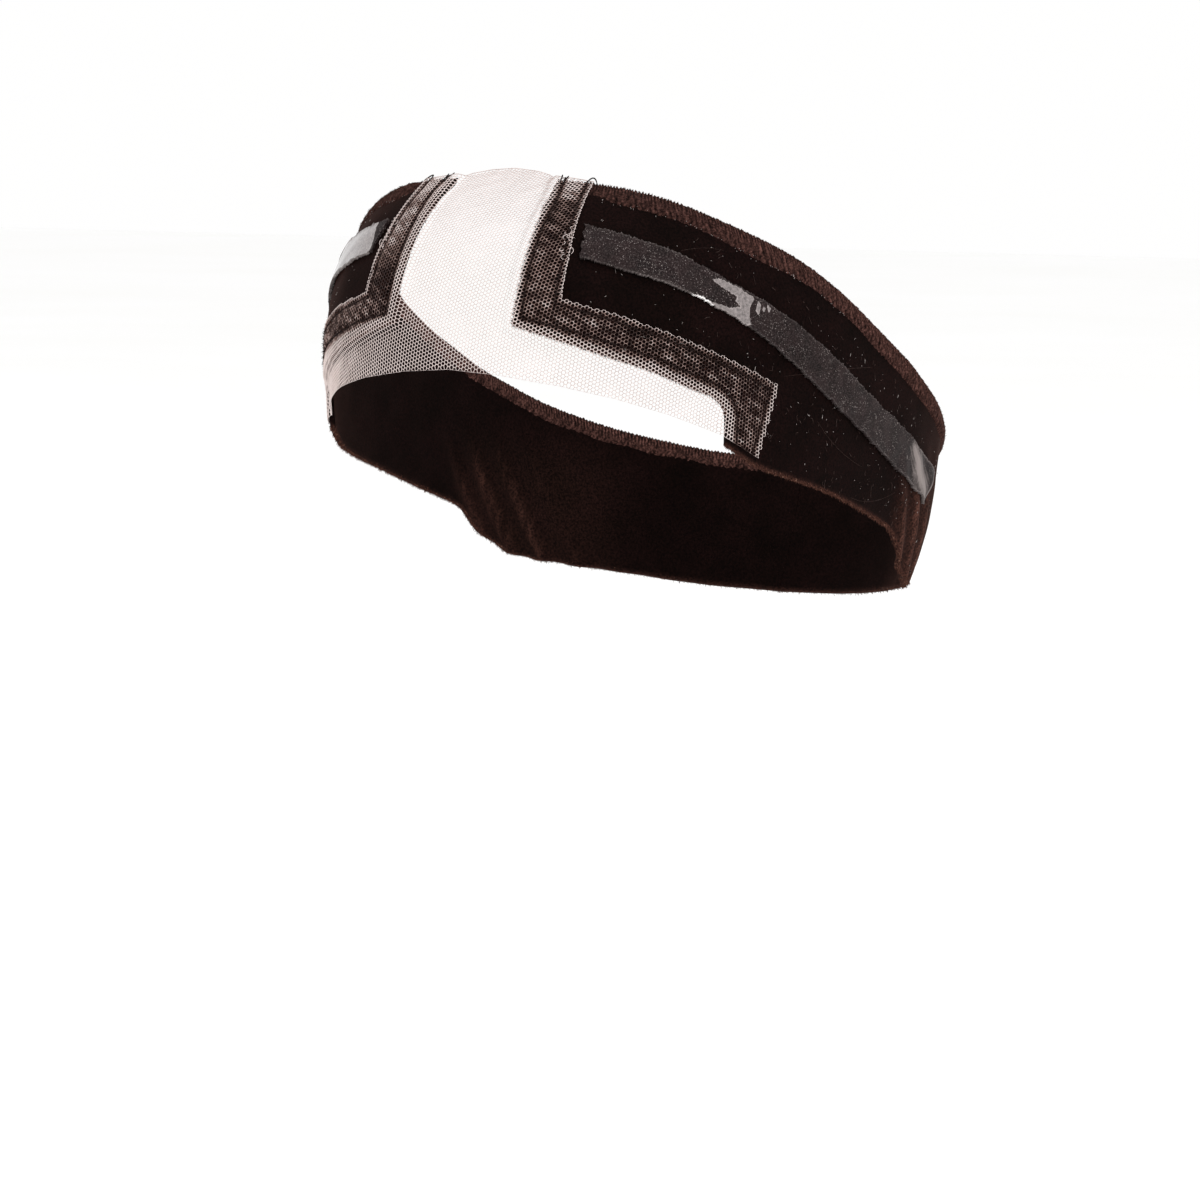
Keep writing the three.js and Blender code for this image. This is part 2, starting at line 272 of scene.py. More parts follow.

# Seams through lace and velvet, how far painted shade in their grooves darkens the lace, and thread ends
# that stand up at their top
SEAM_INSETS = [2.0, 2.3, 2.4, 3.4, 3.5, 3.5, 3.3, 3.2, 3.1, 3.0, 3.0, 3.0]
CUT_INSETS = [1.2, 1.2, 1.3, 1.7, 1.7, 1.7, 1.9, 2.0]
SEAM_SHADE = 0.7
SEAM_SHADE_STRENGTH = 0.95
ThreadEnd = namedtuple("ThreadEnd", "start bend end")
THREAD_ENDS = [
    ThreadEnd((19.4, 47.7), (20.6, 50.6), (21.7, 47.6)),
    ThreadEnd((14.0, 47.6), (14.0, 49.0), (13.8, 49.9)),
    ThreadEnd((14.9, 47.6), (14.8, 48.8), (15.3, 49.6)),
]
THREAD_END_POINTS = 12
STITCH_PITCH = 2.3
STITCH_LENGTH = 1.9
STITCH_LIFT = 0.25
STITCH_FLATNESS = 4

# Loops of lace thread down the upright cut, and loose curls beside the strip's front end
CORD_REACH = (0.272, 0.368)
CORD_BULGE = (0.15, 0.3)
CORD_LIFT = 0.2
LOOP_COUNT = 14
LOOP_LEVELS = (29.0, 38.0)
LOOP_BOX = ((-2.2, -0.4), (-0.1, 0.4))
LOOP_SWEEP = (1.2, 4.2)
LOOP_SIZE = (0.3, 0.8)
LOOP_GROWTH = (0.5, 1.8)
LOOP_RISE = (0.15, 0.6)

# Grip strips, section by section
Strip = namedtuple("Strip", "upper lower")
GRIP = [
    Strip((21.0, 37.2), (21.0, 29.0)),
    Strip((29.3, 34.0), (28.6, 25.7)),
    Strip((37.4, 30.0), (36.1, 22.0)),
    Strip((44.8, 24.1), (43.4, 16.9)),
    Strip((52.5, 18.5), (50.5, 10.8)),
    Strip((60.2, 12.2), (57.5, 4.1)),
    Strip((67.9, 5.6), (64.4, -3.1)),
    Strip((75.6, -1.3), (71.8, -9.8)),
    Strip((83.8, -7.9), (79.6, -16.2)),
    Strip((92.4, -13.8), (88.0, -22.1)),
    Strip((101.2, -19.2), (96.4, -27.9)),
    Strip((109.6, -25.2), (105.1, -33.1)),
    Strip((118.0, -30.7), (113.9, -39.0)),
]
GRIP_SPANS = 42
GRIP_ROWS = 30
GRIP_INNER = 0.35
GRIP_OUTER = 1.1
GRIP_RIM = 0.16
GRIP_RIM_POWER = 24
GRIP_BEVEL = 0.2
GRIP_BEVEL_STEPS = 2
GRIP_FRONT_END = (0, 0.02)
GRIP_EDGES_APART = 60
GRIP_LIFT = Change(0.0, 0.3, 0.93, 1.0)
GRIP_FLAT = np.array((150.0, 8.2))

# Shiny places of a strip, glossy and painted with a pale highlight: outlines by share of its length and
# place across it from its lower edge
SHINE_TONGUE = [(0.235, 0.76), (0.250, 0.92), (0.273, 0.98), (0.305, 0.94), (0.322, 0.92), (0.317, 0.58),
                (0.322, 0.26), (0.328, 0.08), (0.319, -0.02), (0.247, -0.02), (0.235, 0.03), (0.257, 0.14),
                (0.277, 0.18), (0.299, 0.40), (0.286, 0.48), (0.287, 0.64), (0.269, 0.68), (0.241, 0.70)]
SHINE_STREAKS = [[(0.329, 0.94), (0.338, 0.82), (0.339, 0.46), (0.330, 0.58)],
                 [(0.342, 0.86), (0.347, 0.82), (0.348, 0.68), (0.343, 0.70)],
                 [(0.349, 0.96), (0.359, 0.92), (0.357, 0.76), (0.352, 0.80)]]
SHINE_FRONT = [(0.008, -0.1), (0.14, -0.1), (0.24, 0.12), (0.27, 0.50), (0.25, 0.86), (0.14, 1.1),
               (0.036, 1.1), (0.032, 0.88), (0.022, 0.55), (0.014, 0.25)]
SHINE = {"left": [SHINE_TONGUE, *SHINE_STREAKS], "right": [SHINE_FRONT]}
SHINE_BORDER = (-0.25, 0.35)
# Hazy tip where the strip lifts and creases, painted paler with highlight
HAZE_TIP = [(0.864, 0.88), (0.894, 0.62), (0.908, 0.28), (0.935, 0.10), (0.992, 0.00), (0.984, 0.30),
            (0.966, 0.54), (0.930, 0.68), (0.880, 0.96)]
HAZE_BORDER = (-1.7, 1.5)
HAZE_LEAN = radians(-21)
# Painted white glint along the lower rim of the left strip
GLINT_RIM = [(0.190, -0.05), (0.208, 0.02), (0.224, 0.07), (0.235, 0.05), (0.247, 0.02), (0.250, -0.05)]
GLINT_BORDER = (-0.05, 0.15)

# Painted highlight along a strip's rim, by share of its length
RIM_DULL = 0.3
RIM_HIGHLIGHT = 0.7
RIM_HIGHLIGHT_FROM = (0.06, 0.11)
RIM_HIGHLIGHT_UNTIL = (0.26, 0.29)
RIM_TIP = Change(0.0, 0.9, 0.87, 0.89)
RIM_END = Change(0.0, 0.8, 0.991, 0.996)
RIM_BEAD = 1.0
RIM_BEAD_DEPTH = 0.35

# Fastening tab at the back
TAB_MIDDLE = 180.0
TAB_HALF_TURN = 20.0
TAB_LEVEL = -53.5
TAB_HALF_HEIGHT = 11.0
TAB_CORNER = 5.0
TAB_CORNER_TURN = 4.0
TAB_INNER = 0.4
TAB_OUTER = 1.9
TAB_BEVEL = 0.4
TAB_COLUMNS = 60
TAB_ROWS = 24
TAB_SEAM_INSET = 1.7
TAB_SEAM_SUNK = 0.1

# Camera at the photograph's viewing angle, with the origin a little right of and above its axis
VIEW_AZIMUTH = 31.96
VIEW_ELEVATION = 5.29
VIEW_ROLL = 0.54
VIEW_DISTANCE = 1.5
ORIGIN_RIGHT = 0.01195
ORIGIN_ABOVE = 0.06737
FOCAL_PIXELS = 5450.3
FRAME_PIXELS = 1200
SENSOR_MM = 36.0

# Floor, backdrop and lamps, in metres and watts
FLOOR_LEVEL = -0.16
FLOOR_HALF = 6.0
FLOOR_CORNERS = ((-1, -1), (1, -1), (1, 1), (-1, 1))
BACKDROP = (1.0, 0.998, 0.996, 1)
Lamp = namedtuple("Lamp", "name azimuth elevation distance size power")
LAMPS = [
    Lamp("key", 64, 22, 1.3, 0.8, 7),
    Lamp("fill", -40, 30, 1.6, 0.9, 6),
    Lamp("top", 10, 75, 1.4, 0.8, 6),
]


# Worn form

def level_scale(z):
    reach = np.where(z > 0, RISE, DROP)
    return (1 - np.minimum(np.abs(z / reach), POLE_SHARE) ** POWER) ** (1 / POWER)


def form_point(angle, z):
    turn = np.radians(angle)
    depth = np.where(np.cos(turn) > 0, FRONT_DEPTH, BACK_DEPTH)
    plan = np.abs(np.sin(turn) / HALF_WIDTH) ** POWER + np.abs(np.cos(turn) / depth) ** POWER
    radius = level_scale(z) * plan ** (-1 / POWER)
    return np.stack([radius * np.sin(turn), -radius * np.cos(turn), z + 0 * turn], axis=-1)


def unit(vectors):
    return vectors / np.linalg.norm(vectors, axis=-1, keepdims=True)


def form_normal(angle, z):
    turn = form_point(angle + PROBE, z) - form_point(angle - PROBE, z)
    climb = form_point(angle, z + PROBE) - form_point(angle, z - PROBE)
    return unit(np.cross(turn, climb))


def smooth(value, low, high):
    share = np.clip((value - low) / (high - low), 0, 1)
    return share * share * (3 - 2 * share)


def mix(low, high, share):
    return low + (high - low) * share


def change(row, value):
    return mix(row.first, row.last, smooth(value, row.start, row.end))


def gather_lift(angle, z):
    ridge_shift = GATHER_LEAN * (GATHER_LEVEL - z)
    lift = 0
    for fold in FOLDS:
        lift = lift + fold.rise * np.exp(-(((np.abs(angle) - fold.angle - ridge_shift) / fold.width) ** 2))
    return change(GATHER_FADE, z) * lift


def place(angle, z, lift):
    out = (lift + gather_lift(angle, z))[..., None]
    return form_point(angle, z) + form_normal(angle, z) * out


def ripple(seed, size, count=8):
    """A smooth seeded ripple of about the given size, from -1 to 1."""
    random = np.random.default_rng(seed)
    turns = random.uniform(0, 2 * pi, count)
    rates = 2 * pi / size * random.uniform(*RIPPLE_RATES, count)
    starts = random.uniform(0, 2 * pi, count)

    def at(x, y):
        total = 0
        for turn, rate, start in zip(turns, rates, starts):
            total = total + np.sin(rate * (x * cos(turn) + y * sin(turn)) + start)
        return total / count ** 0.5 / RIPPLE_REACH

    return at


def wave(title, side=0):
    """A ripple from the table, with its strength, for one side."""
    row = WAVES[title]
    shape = ripple(row.seed + side, row.size, row.count)

    def at(x, y):
        return row.strength * shape(row.along * x, row.across * y)

    return at


def edge_through(points):
    """A smooth edge through the sections' points, read by section number."""
    points = np.array(points, float)
    last = len(points) - 1

    def at(section):
        start = np.clip(np.floor(section).astype(int), 0, last - 1)
        share = (section - start)[..., None]
        before = points[np.maximum(start - 1, 0)]
        here = points[start]
        there = points[start + 1]
        after = points[np.minimum(start + 2, last)]
        leave = (there - before) / 2
        arrive = (after - here) / 2
        cubic = (2 * here - 2 * there + leave + arrive) * share ** 3
        square = (3 * there - 3 * here - 2 * leave - arrive) * share ** 2
        return cubic + square + leave * share + here

    return at


# Flat outlines

def inside(polygon, places):
    """Which places lie within a closed outline."""
    found = np.zeros(places.shape[:-1], bool)
    x, y = places[..., 0], places[..., 1]
    for start, end in zip(polygon, np.roll(polygon, -1, axis=0)):
        crosses = (start[1] > y) != (end[1] > y)
        reach = start[0] + (y - start[1]) / (end[1] - start[1] + TINY) * (end[0] - start[0])
        found ^= crosses & (x < reach)
    return found


def nearest(line, places):
    """Distance from each place to a line, and the nearest spot on it."""
    gap = np.full(places.shape[:-1], np.inf)
    spot = np.zeros(places.shape)
    for start, end in zip(line[:-1], line[1:]):
        step = end - start
        share = np.clip((places - start) @ step / (step @ step), 0, 1)
        here = start + share[..., None] * step
        away = np.linalg.norm(places - here, axis=-1)
        closer = away < gap
        gap = np.where(closer, away, gap)
        spot = np.where(closer[..., None], here, spot)
    return gap, spot


def distance(line, places):
    return nearest(line, places)[0]


def inset(line, depths):
    """A line moved aside by a depth at each point, to the left of its direction, with mitred corners."""
    steps = unit(np.diff(line, axis=0))
    aside = np.stack([-steps[:, 1], steps[:, 0]], axis=-1)
    before = np.concatenate([aside[:1], aside])
    after = np.concatenate([aside, aside[-1:]])
    mitre = (before + after) / (1 + (before * after).sum(axis=1, keepdims=True))
    return line + np.array(depths)[:, None] * mitre


def bent_line(start, bend, end, count):
    """Angles and heights along a curve that leaves the start towards the bend and ends at the end."""
    start, bend, end = np.array(start), np.array(bend), np.array(end)
    share = np.linspace(0, 1, count)[:, None]
    line = mix(mix(start, bend, share), mix(bend, end, share), share)
    return line[:, 0], line[:, 1]


def along_line(line, pitch):
    """Places at a steady pitch along a line."""
    steps = np.linalg.norm(np.diff(line, axis=0), axis=1)
    reach = np.concatenate([[0], np.cumsum(steps)])
    stops = np.arange(pitch / 2, reach[-1], pitch)
    return np.stack([np.interp(stops, reach, line[:, 0]), np.interp(stops, reach, line[:, 1])], axis=-1)


# Meshes

def add_object(name, data):
    item = bpy.data.objects.new(name, data)
    bpy.context.scene.collection.objects.link(item)
    return item


def make_piece(name, points, faces, material, marks=None):
    """A mesh object from points in millimetres, with each mark's values stored for its material."""
    used = np.unique(np.concatenate([block.ravel() for block in faces]))
    renumber = np.zeros(len(points), int)
    renumber[used] = np.arange(len(used))
    lists = [face for block in faces for face in renumber[block].tolist()]
    mesh = bpy.data.meshes.new(name)
    mesh.from_pydata((points[used] * MM).tolist(), [], lists)
    mesh.polygons.foreach_set("use_smooth", [True] * len(mesh.polygons))
    mesh.update()
    for title, values in (marks or {}).items():
        layer = mesh.attributes.new(title, "FLOAT", "POINT")
        layer.data.foreach_set("value", values.ravel()[used].astype(np.float32))
    mesh.materials.append(material)
    piece = add_object(name, mesh)
    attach(piece, "root")
    return piece


def soften_rim(piece, width, segments=3):
    """Rounds a wall's sharp rim."""
    bevel = piece.modifiers.new("rim", "BEVEL")
    bevel.width = width * MM
    bevel.segments = segments
    bevel.limit_method = "ANGLE"
    bevel.angle_limit = BEVEL_ANGLE


def quads(*corners):
    return np.stack(corners, axis=-1).reshape(-1, 4)


def wall_faces(columns, rows, keep):
    """Quads of a closed wall: outer face, inner face, and a rim round the kept cells."""
    ids = np.arange(columns * rows).reshape(columns, rows)
    corners = np.stack([ids[:-1, :-1], ids[1:, :-1], ids[1:, 1:], ids[:-1, 1:]], axis=-1)
    outer = corners[keep]
    inner = outer[:, ::-1] + ids.size
    round_about = np.pad(keep, 1)
    beyond = (round_about[1:-1, :-2], round_about[2:, 1:-1], round_about[1:-1, 2:], round_about[:-2, 1:-1])
    blocks = [outer, inner]
    for edge, neighbour in enumerate(beyond):
        cells = corners[keep & ~neighbour]
        start = cells[:, edge]
        end = cells[:, (edge + 1) % 4]
        blocks.append(quads(end, start, start + ids.size, end + ids.size))
    return np.concatenate(blocks)


def wall_piece(name, spots, lifts, material, side=1, keep=None, marks=None):
    """A closed wall over a grid of spots, between an inner and an outer lift."""
    angle, z = spots
    columns, rows = angle.shape
    if keep is None:
        keep = np.ones((columns - 1, rows - 1), bool)
    faces = wall_faces(columns, rows, keep)
    if side < 0:
        faces = faces[:, ::-1]
    inner, outer = (place(side * angle, z, lift + 0 * angle).reshape(-1, 3) for lift in lifts)
    both = {title: np.stack([values, INNER_MARK * values]) for title, values in (marks or {}).items()}
    return make_piece(name, np.concatenate([outer, inner]), [faces], material, both)


def fibres(name, side, roots, directions, lengths, pile, material):
    """Many short tapered fibres, each a thin closed spike."""
    twist = np.random.default_rng(pile.twist_seed + side)
    directions = unit(directions)
    aside = unit(np.cross(directions, twist.normal(size=roots.shape)))
    across = np.cross(directions, aside)
    corners = []
    for turn in FIBRE_CORNERS:
        corners.append(roots + pile.width / 2 * (cos(turn) * aside + sin(turn) * across))
    tips = roots + directions * lengths[:, None]
    points = np.stack([*corners, tips], axis=1).reshape(-1, 3)
    base = 4 * np.arange(len(roots))[:, None]
    faces = (base[:, :, None] + FIBRE_FACES[None]).reshape(-1, 3)
    return make_piece(name, points, [faces], material)


def threads(name, side, curves, strand, material):
    """Round threads with rounded ends, along curves of angles, heights and lifts."""
    points = []
    faces = []
    offset = 0
    for angle, z, lift in curves:
        line = place(side * angle, z, lift + 0 * z)
        steps = unit(np.gradient(line, axis=0))
        upright = unit(np.cross(steps, steps[0] + THREAD_ASIDE))
        across = np.cross(steps, upright)
        count = len(line)
        share = np.linspace(-1, 1, count)
        swell = strand.radius * np.sqrt(np.maximum(1 - np.abs(share) ** count, THREAD_TIP))
        for corner in range(strand.corners):
            turn = 2 * pi * corner / strand.corners
            points.append(line + swell[:, None] * (cos(turn) * upright + sin(turn) * across))
        ids = offset + np.arange(strand.corners * count).reshape(-1, count)
        after = np.roll(ids, -1, axis=0)
        faces.append(quads(ids[:, :-1], after[:, :-1], after[:, 1:], ids[:, 1:]))
        faces.append(ids[::-1, 0][None])
        faces.append(ids[:, -1][None])
        offset += ids.size
    return make_piece(name, np.concatenate(points), faces, material)


# Materials

def rgb(red, green, blue):
    """Linear colour from a screen colour."""
    shares = np.array((red, green, blue)) / 255
    linear = np.where(shares > 0.04045, ((shares + 0.055) / 1.055) ** 2.4, shares / 12.92)
    return (*(float(value) for value in linear), 1.0)


class Finish:
    """A Principled material with helpers for its procedural detail."""

    def __init__(self, name, **sockets):
        self.material = bpy.data.materials.new(name)
        self.material.use_nodes = True
        self.tree = self.material.node_tree
        self.shader = self.tree.nodes["Principled BSDF"]
        self.place = self.tree.nodes.new("ShaderNodeTexCoord").outputs["Object"]
        for socket, value in sockets.items():
            self.shader.inputs[socket.replace("_", " ").title().replace("Ior", "IOR")].default_value = value

    def node(self, kind, **links):
        node = self.tree.nodes.new(kind)
        for socket, source in links.items():
            self.tree.links.new(source, node.inputs[socket])
        return node

    def noise(self, size, detail=3.0, rough=0.55):
        node = self.node("ShaderNodeTexNoise", Vector=self.place)
        node.inputs["Scale"].default_value = 1 / (size * MM)
        node.inputs["Detail"].default_value = detail
        node.inputs["Roughness"].default_value = rough
        return node.outputs["Fac"]

    def spots(self, size):
        node = self.node("ShaderNodeTexVoronoi", Vector=self.place)
        node.inputs["Scale"].default_value = 1 / (size * MM)
        return node.outputs["Distance"]

    def ramp(self, value, *stops):
        node = self.node("ShaderNodeValToRGB", Fac=value)
        elements = node.color_ramp.elements
        while len(elements) < len(stops):
            elements.new(0.5)
        for element, (position, colour) in zip(elements, stops):
            element.position = position
            element.color = colour if isinstance(colour, tuple) else (colour, colour, colour, 1)
        return node.outputs["Color"]

    def blend(self, share, first, second, mode="MIX"):
        node = self.tree.nodes.new("ShaderNodeMix")
        node.data_type = "RGBA"
        node.blend_type = mode
        for name, value in (("Factor", share), ("A", first), ("B", second)):
            socket = next(s for s in node.inputs if s.name == name and s.enabled)
            if isinstance(value, (float, tuple)):
                socket.default_value = value
            else:
                self.tree.links.new(value, socket)
        return next(s for s in node.outputs if s.enabled)

    def times(self, first, second):
        return self.blend(1.0, first, second, "MULTIPLY")

    def plus(self, first, second):
        return self.blend(1.0, first, second, "ADD")

    def attribute(self, name):
        node = self.tree.nodes.new("ShaderNodeAttribute")
        node.attribute_name = name
        return node.outputs["Fac"]

    def set(self, socket, source):
        self.tree.links.new(source, self.shader.inputs[socket])

    def toned(self, size, *stops):
        """The material, coloured by noise of one size."""
        self.set("Base Color", self.ramp(self.noise(size), *stops))
        return self.material

    def bump(self, height, strength, depth):
        node = self.node("ShaderNodeBump", Height=height)
        node.inputs["Strength"].default_value = strength
        node.inputs["Distance"].default_value = depth * MM
        self.set("Normal", node.outputs["Normal"])


def velvet_finish():
    finish = Finish("velvet", roughness=0.95, specular_ior_level=0.04, sheen_weight=0.09,
                    sheen_roughness=0.3, sheen_tint=rgb(176, 108, 88))
    patches = finish.ramp(finish.noise(size=14), (0.35, rgb(11, 4, 3)), (0.7, rgb(20, 8, 7)))
    pile = finish.ramp(finish.noise(size=0.6, detail=2.0), (0.35, 0.35), (0.7, 1.2))
    flat = finish.times(patches, pile)
    fibre = finish.noise(size=0.6, detail=2.0)
    # painted sheen: lighter brown where the pile opens and turns away over the gathers and at the lower edge
    painted_sheen_colour = finish.ramp(fibre, (0.35, rgb(42, 25, 22)), (0.65, rgb(98, 64, 54)))
    finish.set("Base Color", finish.blend(finish.attribute("painted_sheen"), flat, painted_sheen_colour))
    finish.bump(finish.noise(size=0.45, detail=2.0), strength=0.5, depth=0.25)
    return finish.material


def hem_finish():
    finish = Finish("hem", roughness=0.95, specular_ior_level=0.04, sheen_weight=0.06,
                    sheen_roughness=0.5, sheen_tint=rgb(170, 112, 98))
    # painted light and shade of the ribs: dark grooves and lighter crests, with painted sheen towards the
    # back and painted shade under the lace
    rib_light_and_shade = finish.ramp(finish.attribute("rib"), (0.05, rgb(17, 8, 7)), (0.8, rgb(89, 60, 54)))
    pile = finish.ramp(finish.noise(size=0.55), (0.38, 0.22), (0.62, 1.2))
    finish.set("Base Color", finish.times(rib_light_and_shade, pile))
    finish.bump(finish.noise(size=0.4, detail=2.0), strength=0.6, depth=0.25)
    return finish.material


def strand_finish(name, dark, middle, pale):
    """A finish for loose pile, from dark to a few pale strands."""
    finish = Finish(name, roughness=0.9, specular_ior_level=0.05, sheen_weight=0.08,
                    sheen_tint=rgb(190, 120, 96))
    return finish.toned(0.8, (0.3, rgb(*dark)), (0.6, rgb(*middle)), (0.75, rgb(*pale)))


def lace_finish():
    finish = Finish("lace", roughness=0.7, specular_ior_level=0.3, sheen_weight=0.05)
    tone = finish.ramp(finish.noise(size=9.0), (0.3, rgb(200, 184, 179)), (0.7, rgb(216, 201, 197)))
    twist = finish.ramp(finish.noise(size=0.25, detail=1.0), (0.3, 0.8), (0.65, 1.0))
    clean = finish.times(tone, twist)
    # darker where pile covers the threads, and painted shade in fold streaks and seam grooves
    half_veil_and_shade = (0.43, 0.33, 0.3, 1)
    full_veil_and_shade = (0.05, 0.026, 0.022, 1)
    cover_and_shade = finish.ramp(finish.attribute("covered_and_shaded"), (0.0, 1.0), (0.5, half_veil_and_shade), (1.0, full_veil_and_shade))
    finish.set("Base Color", finish.times(clean, cover_and_shade))
    finish.bump(finish.noise(size=0.2, detail=1.0), strength=0.3, depth=0.05)
    return finish.material


def dull_silicone(finish):
    """Cloudy grey with a fine grain and bright specks."""
    nothing = rgb(0, 0, 0)
    cloud = finish.ramp(finish.noise(size=5.0), (0.3, rgb(6, 1, 1)), (0.7, rgb(26, 15, 15)))
    grain = finish.ramp(finish.noise(size=0.35, detail=2.0), (0.45, nothing), (0.75, rgb(50, 43, 42)))
    dull = finish.plus(cloud, grain)
    specks = finish.ramp(finish.spots(size=0.5), (0.12, rgb(136, 128, 125)), (0.26, nothing))
    amount = finish.ramp(finish.noise(size=4.0), (0.4, 0.1), (0.6, 1.0))
    return finish.blend(amount, dull, finish.plus(dull, specks))


def silicone_finish():
    finish = Finish("silicone", specular_ior_level=0.12, ior=1.41, coat_roughness=0.1, coat_ior=1.45)
    gloss_and_painted_highlight = finish.attribute("gloss_and_painted_highlight")
    # painted highlight: pale base colour where the strip is glossy, on top of the coat's own reflection
    painted_highlight_colour = finish.ramp(gloss_and_painted_highlight, (0.35, rgb(54, 48, 48)), (0.6, rgb(126, 118, 116)), (1.0, rgb(104, 97, 96)))
    mottle = finish.ramp(finish.noise(size=0.8, detail=3.0, rough=0.7), (0.3, 0.55), (0.7, 1.75))
    highlight_share = finish.ramp(gloss_and_painted_highlight, (0.25, 0.0), (0.5, 1.0))
    with_painted_highlight = finish.blend(highlight_share, dull_silicone(finish), finish.times(painted_highlight_colour, mottle))
    # painted highlight on the strip's lifted, creased tip
    with_tip_highlight = finish.blend(finish.attribute("haze_and_highlight"), with_painted_highlight, rgb(124, 115, 112))
    # painted highlight along the rim
    with_rim_highlight = finish.blend(finish.attribute("rim"), with_tip_highlight, rgb(112, 104, 102))
    # painted glint: white base colour on the lower rim
    finish.set("Base Color", finish.blend(finish.attribute("painted_glint"), with_rim_highlight, rgb(226, 222, 220)))
    finish.set("Roughness", finish.ramp(gloss_and_painted_highlight, (0.3, 0.6), (0.7, 0.3)))
    finish.set("Coat Weight", finish.ramp(gloss_and_painted_highlight, (0.3, 0.0), (0.6, 1.0)))
    finish.bump(finish.noise(size=0.7), strength=0.2, depth=0.1)
    return finish.material


def fastening_finish():
    finish = Finish("fastening", roughness=0.9, specular_ior_level=0.1, sheen_weight=0.08,
                    sheen_tint=rgb(120, 90, 84))
    loops = finish.spots(size=0.7)
    finish.set("Base Color", finish.ramp(loops, (0.1, rgb(34, 26, 25)), (0.6, rgb(14, 10, 10))))
    finish.bump(loops, strength=0.8, depth=0.4)
    return finish.material


def thread_finish():
    finish = Finish("thread", roughness=0.8, specular_ior_level=0.1)
    finish.bump(finish.noise(size=0.25, detail=1.0), strength=0.5, depth=0.1)
    return finish.toned(0.4, (0.3, rgb(16, 10, 9)), (0.7, rgb(34, 21, 19)))


def lint_finish():
    finish = Finish("lint", roughness=0.8, specular_ior_level=0.2)
    return finish.toned(2.0, (0.3, rgb(88, 78, 75)), (0.7, rgb(176, 168, 164)))


def floor_finish():
    finish = Finish("floor", roughness=0.9, specular_ior_level=0.1)
    return finish.toned(400.0, (0.3, rgb(252, 252, 251)), (0.7, rgb(254, 254, 254)))


# Velvet wings and hems

wing_top = edge_through([section.top for section in WING])
skirt_low = edge_through([section.low for section in WING[STEP_SECTION:]])
step_foot = WING[STEP_SECTION]
STEP_LEVEL = mix(step_foot.low[1], step_foot.top[1] - step_foot.hem, STEP_SHARE)
STEP_CORNER = (step_foot.low[0], STEP_LEVEL + STEP_ROUND)
front_low = edge_through([section.low for section in WING[:STEP_SECTION]] + [STEP_CORNER])


def hem_height(section):
    return np.interp(section, np.arange(len(WING)), [row.hem for row in WING])


def wing_columns(turn):
    """Section numbers of columns about the given turn apart, finer in front of the step."""
    parts = []
    for number in range(len(WING) - 1):
        finer = 2 if number == STEP_SECTION - 1 else 1
        count = finer * ceil((WING[number + 1].top[0] - WING[number].top[0]) / turn)
        parts.append(number + np.arange(count) / count)
    return np.concatenate([*parts, [len(WING) - 1]])


def wing_low(section):
    """The lower edge at each section, in front of the step, round its corner and behind it."""
    front = front_low(section)
    rounding = np.clip((front[..., 0] - STEP_CORNER[0]) / STEP_ROUND_TURN + 1, 0, 1)
    front[..., 1] -= STEP_ROUND * (1 - np.sqrt(1 - rounding ** 2))
    behind = section >= STEP_SECTION
    return np.where(behind[..., None], skirt_low(section - STEP_SECTION), front)


def wing_spots(section, share):
    low = wing_low(section)
    top = wing_top(section)
    height = top[..., 1] - hem_height(section) + HEM_LAP
    return mix(low[..., 0], top[..., 0], share), mix(low[..., 1], height, share)


def painted_sheen_amount(angle, z, low):
    """Painted sheen where the pile lies open and turns away: over the gathers and at the lower edge."""
    gathered = change(GATHER_FADE, z) * smooth(angle, *SHEEN_FROM) * (1 - smooth(angle, *SHEEN_UNTIL))
    ridges = np.clip(gather_lift(angle, z) / FOLDS[0].rise, 0, 1) ** SHEEN_POWER
    wrinkles = SHEEN_WRINKLED + wave("wrinkles")(angle * DEGREE, z)
    painted_sheen = np.maximum(SHEEN_BETWEEN * gathered, SHEEN_RIDGES * ridges * wrinkles)
    return np.maximum(painted_sheen, SHEEN_EDGE * np.exp(-((z - low) / SHEEN_EDGE_WIDTH) ** 2))


def velvet_wing(name, side, material):
    section = wing_columns(COLUMN_TURN)[:, None] + np.zeros(SKIRT_ROWS + MAIN_ROWS + 1)
    row = np.arange(SKIRT_ROWS + MAIN_ROWS + 1) + 0 * section
    skirt = np.minimum(row / SKIRT_ROWS, 1)
    main = np.maximum((row - SKIRT_ROWS) / MAIN_ROWS, 0)
    behind = section >= STEP_SECTION
    angle, z = wing_spots(section, np.where(behind, mix(STEP_SHARE * skirt, 1, main), main))
    keep = behind[:-1, :-1] | (row[:-1, :-1] >= SKIRT_ROWS)
    swell = wave("wing", side)(angle * DEGREE, z)
    marks = {"painted_sheen": painted_sheen_amount(angle, z, wing_low(section)[..., 1])}
    piece = wall_piece(f"velvet_wing_{name}", (angle, z), (VELVET_INNER + swell, VELVET_OUTER + swell),
                       material, side, keep, marks)
    soften_rim(piece, VELVET_BEVEL)
    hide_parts(f"velvet_{name}")
    return piece


def hem_ribs(along, turn, side):
    """Height of the hem's cross ribs, from groove to crest: even at the top, broken up at the foot."""
    drift = wave("rib_drift", side)(along, turn)
    phase = 2 * pi * (along + drift) / RIB_PITCH + wave("rib_shift", side)(along, turn)
    tufts = np.clip(0.5 + wave("hem_tufts", side)(along, turn), 0, 1)
    return mix(tufts, 0.5 + 0.5 * np.cos(phase), smooth(np.sin(turn), *RIBS_EVEN))


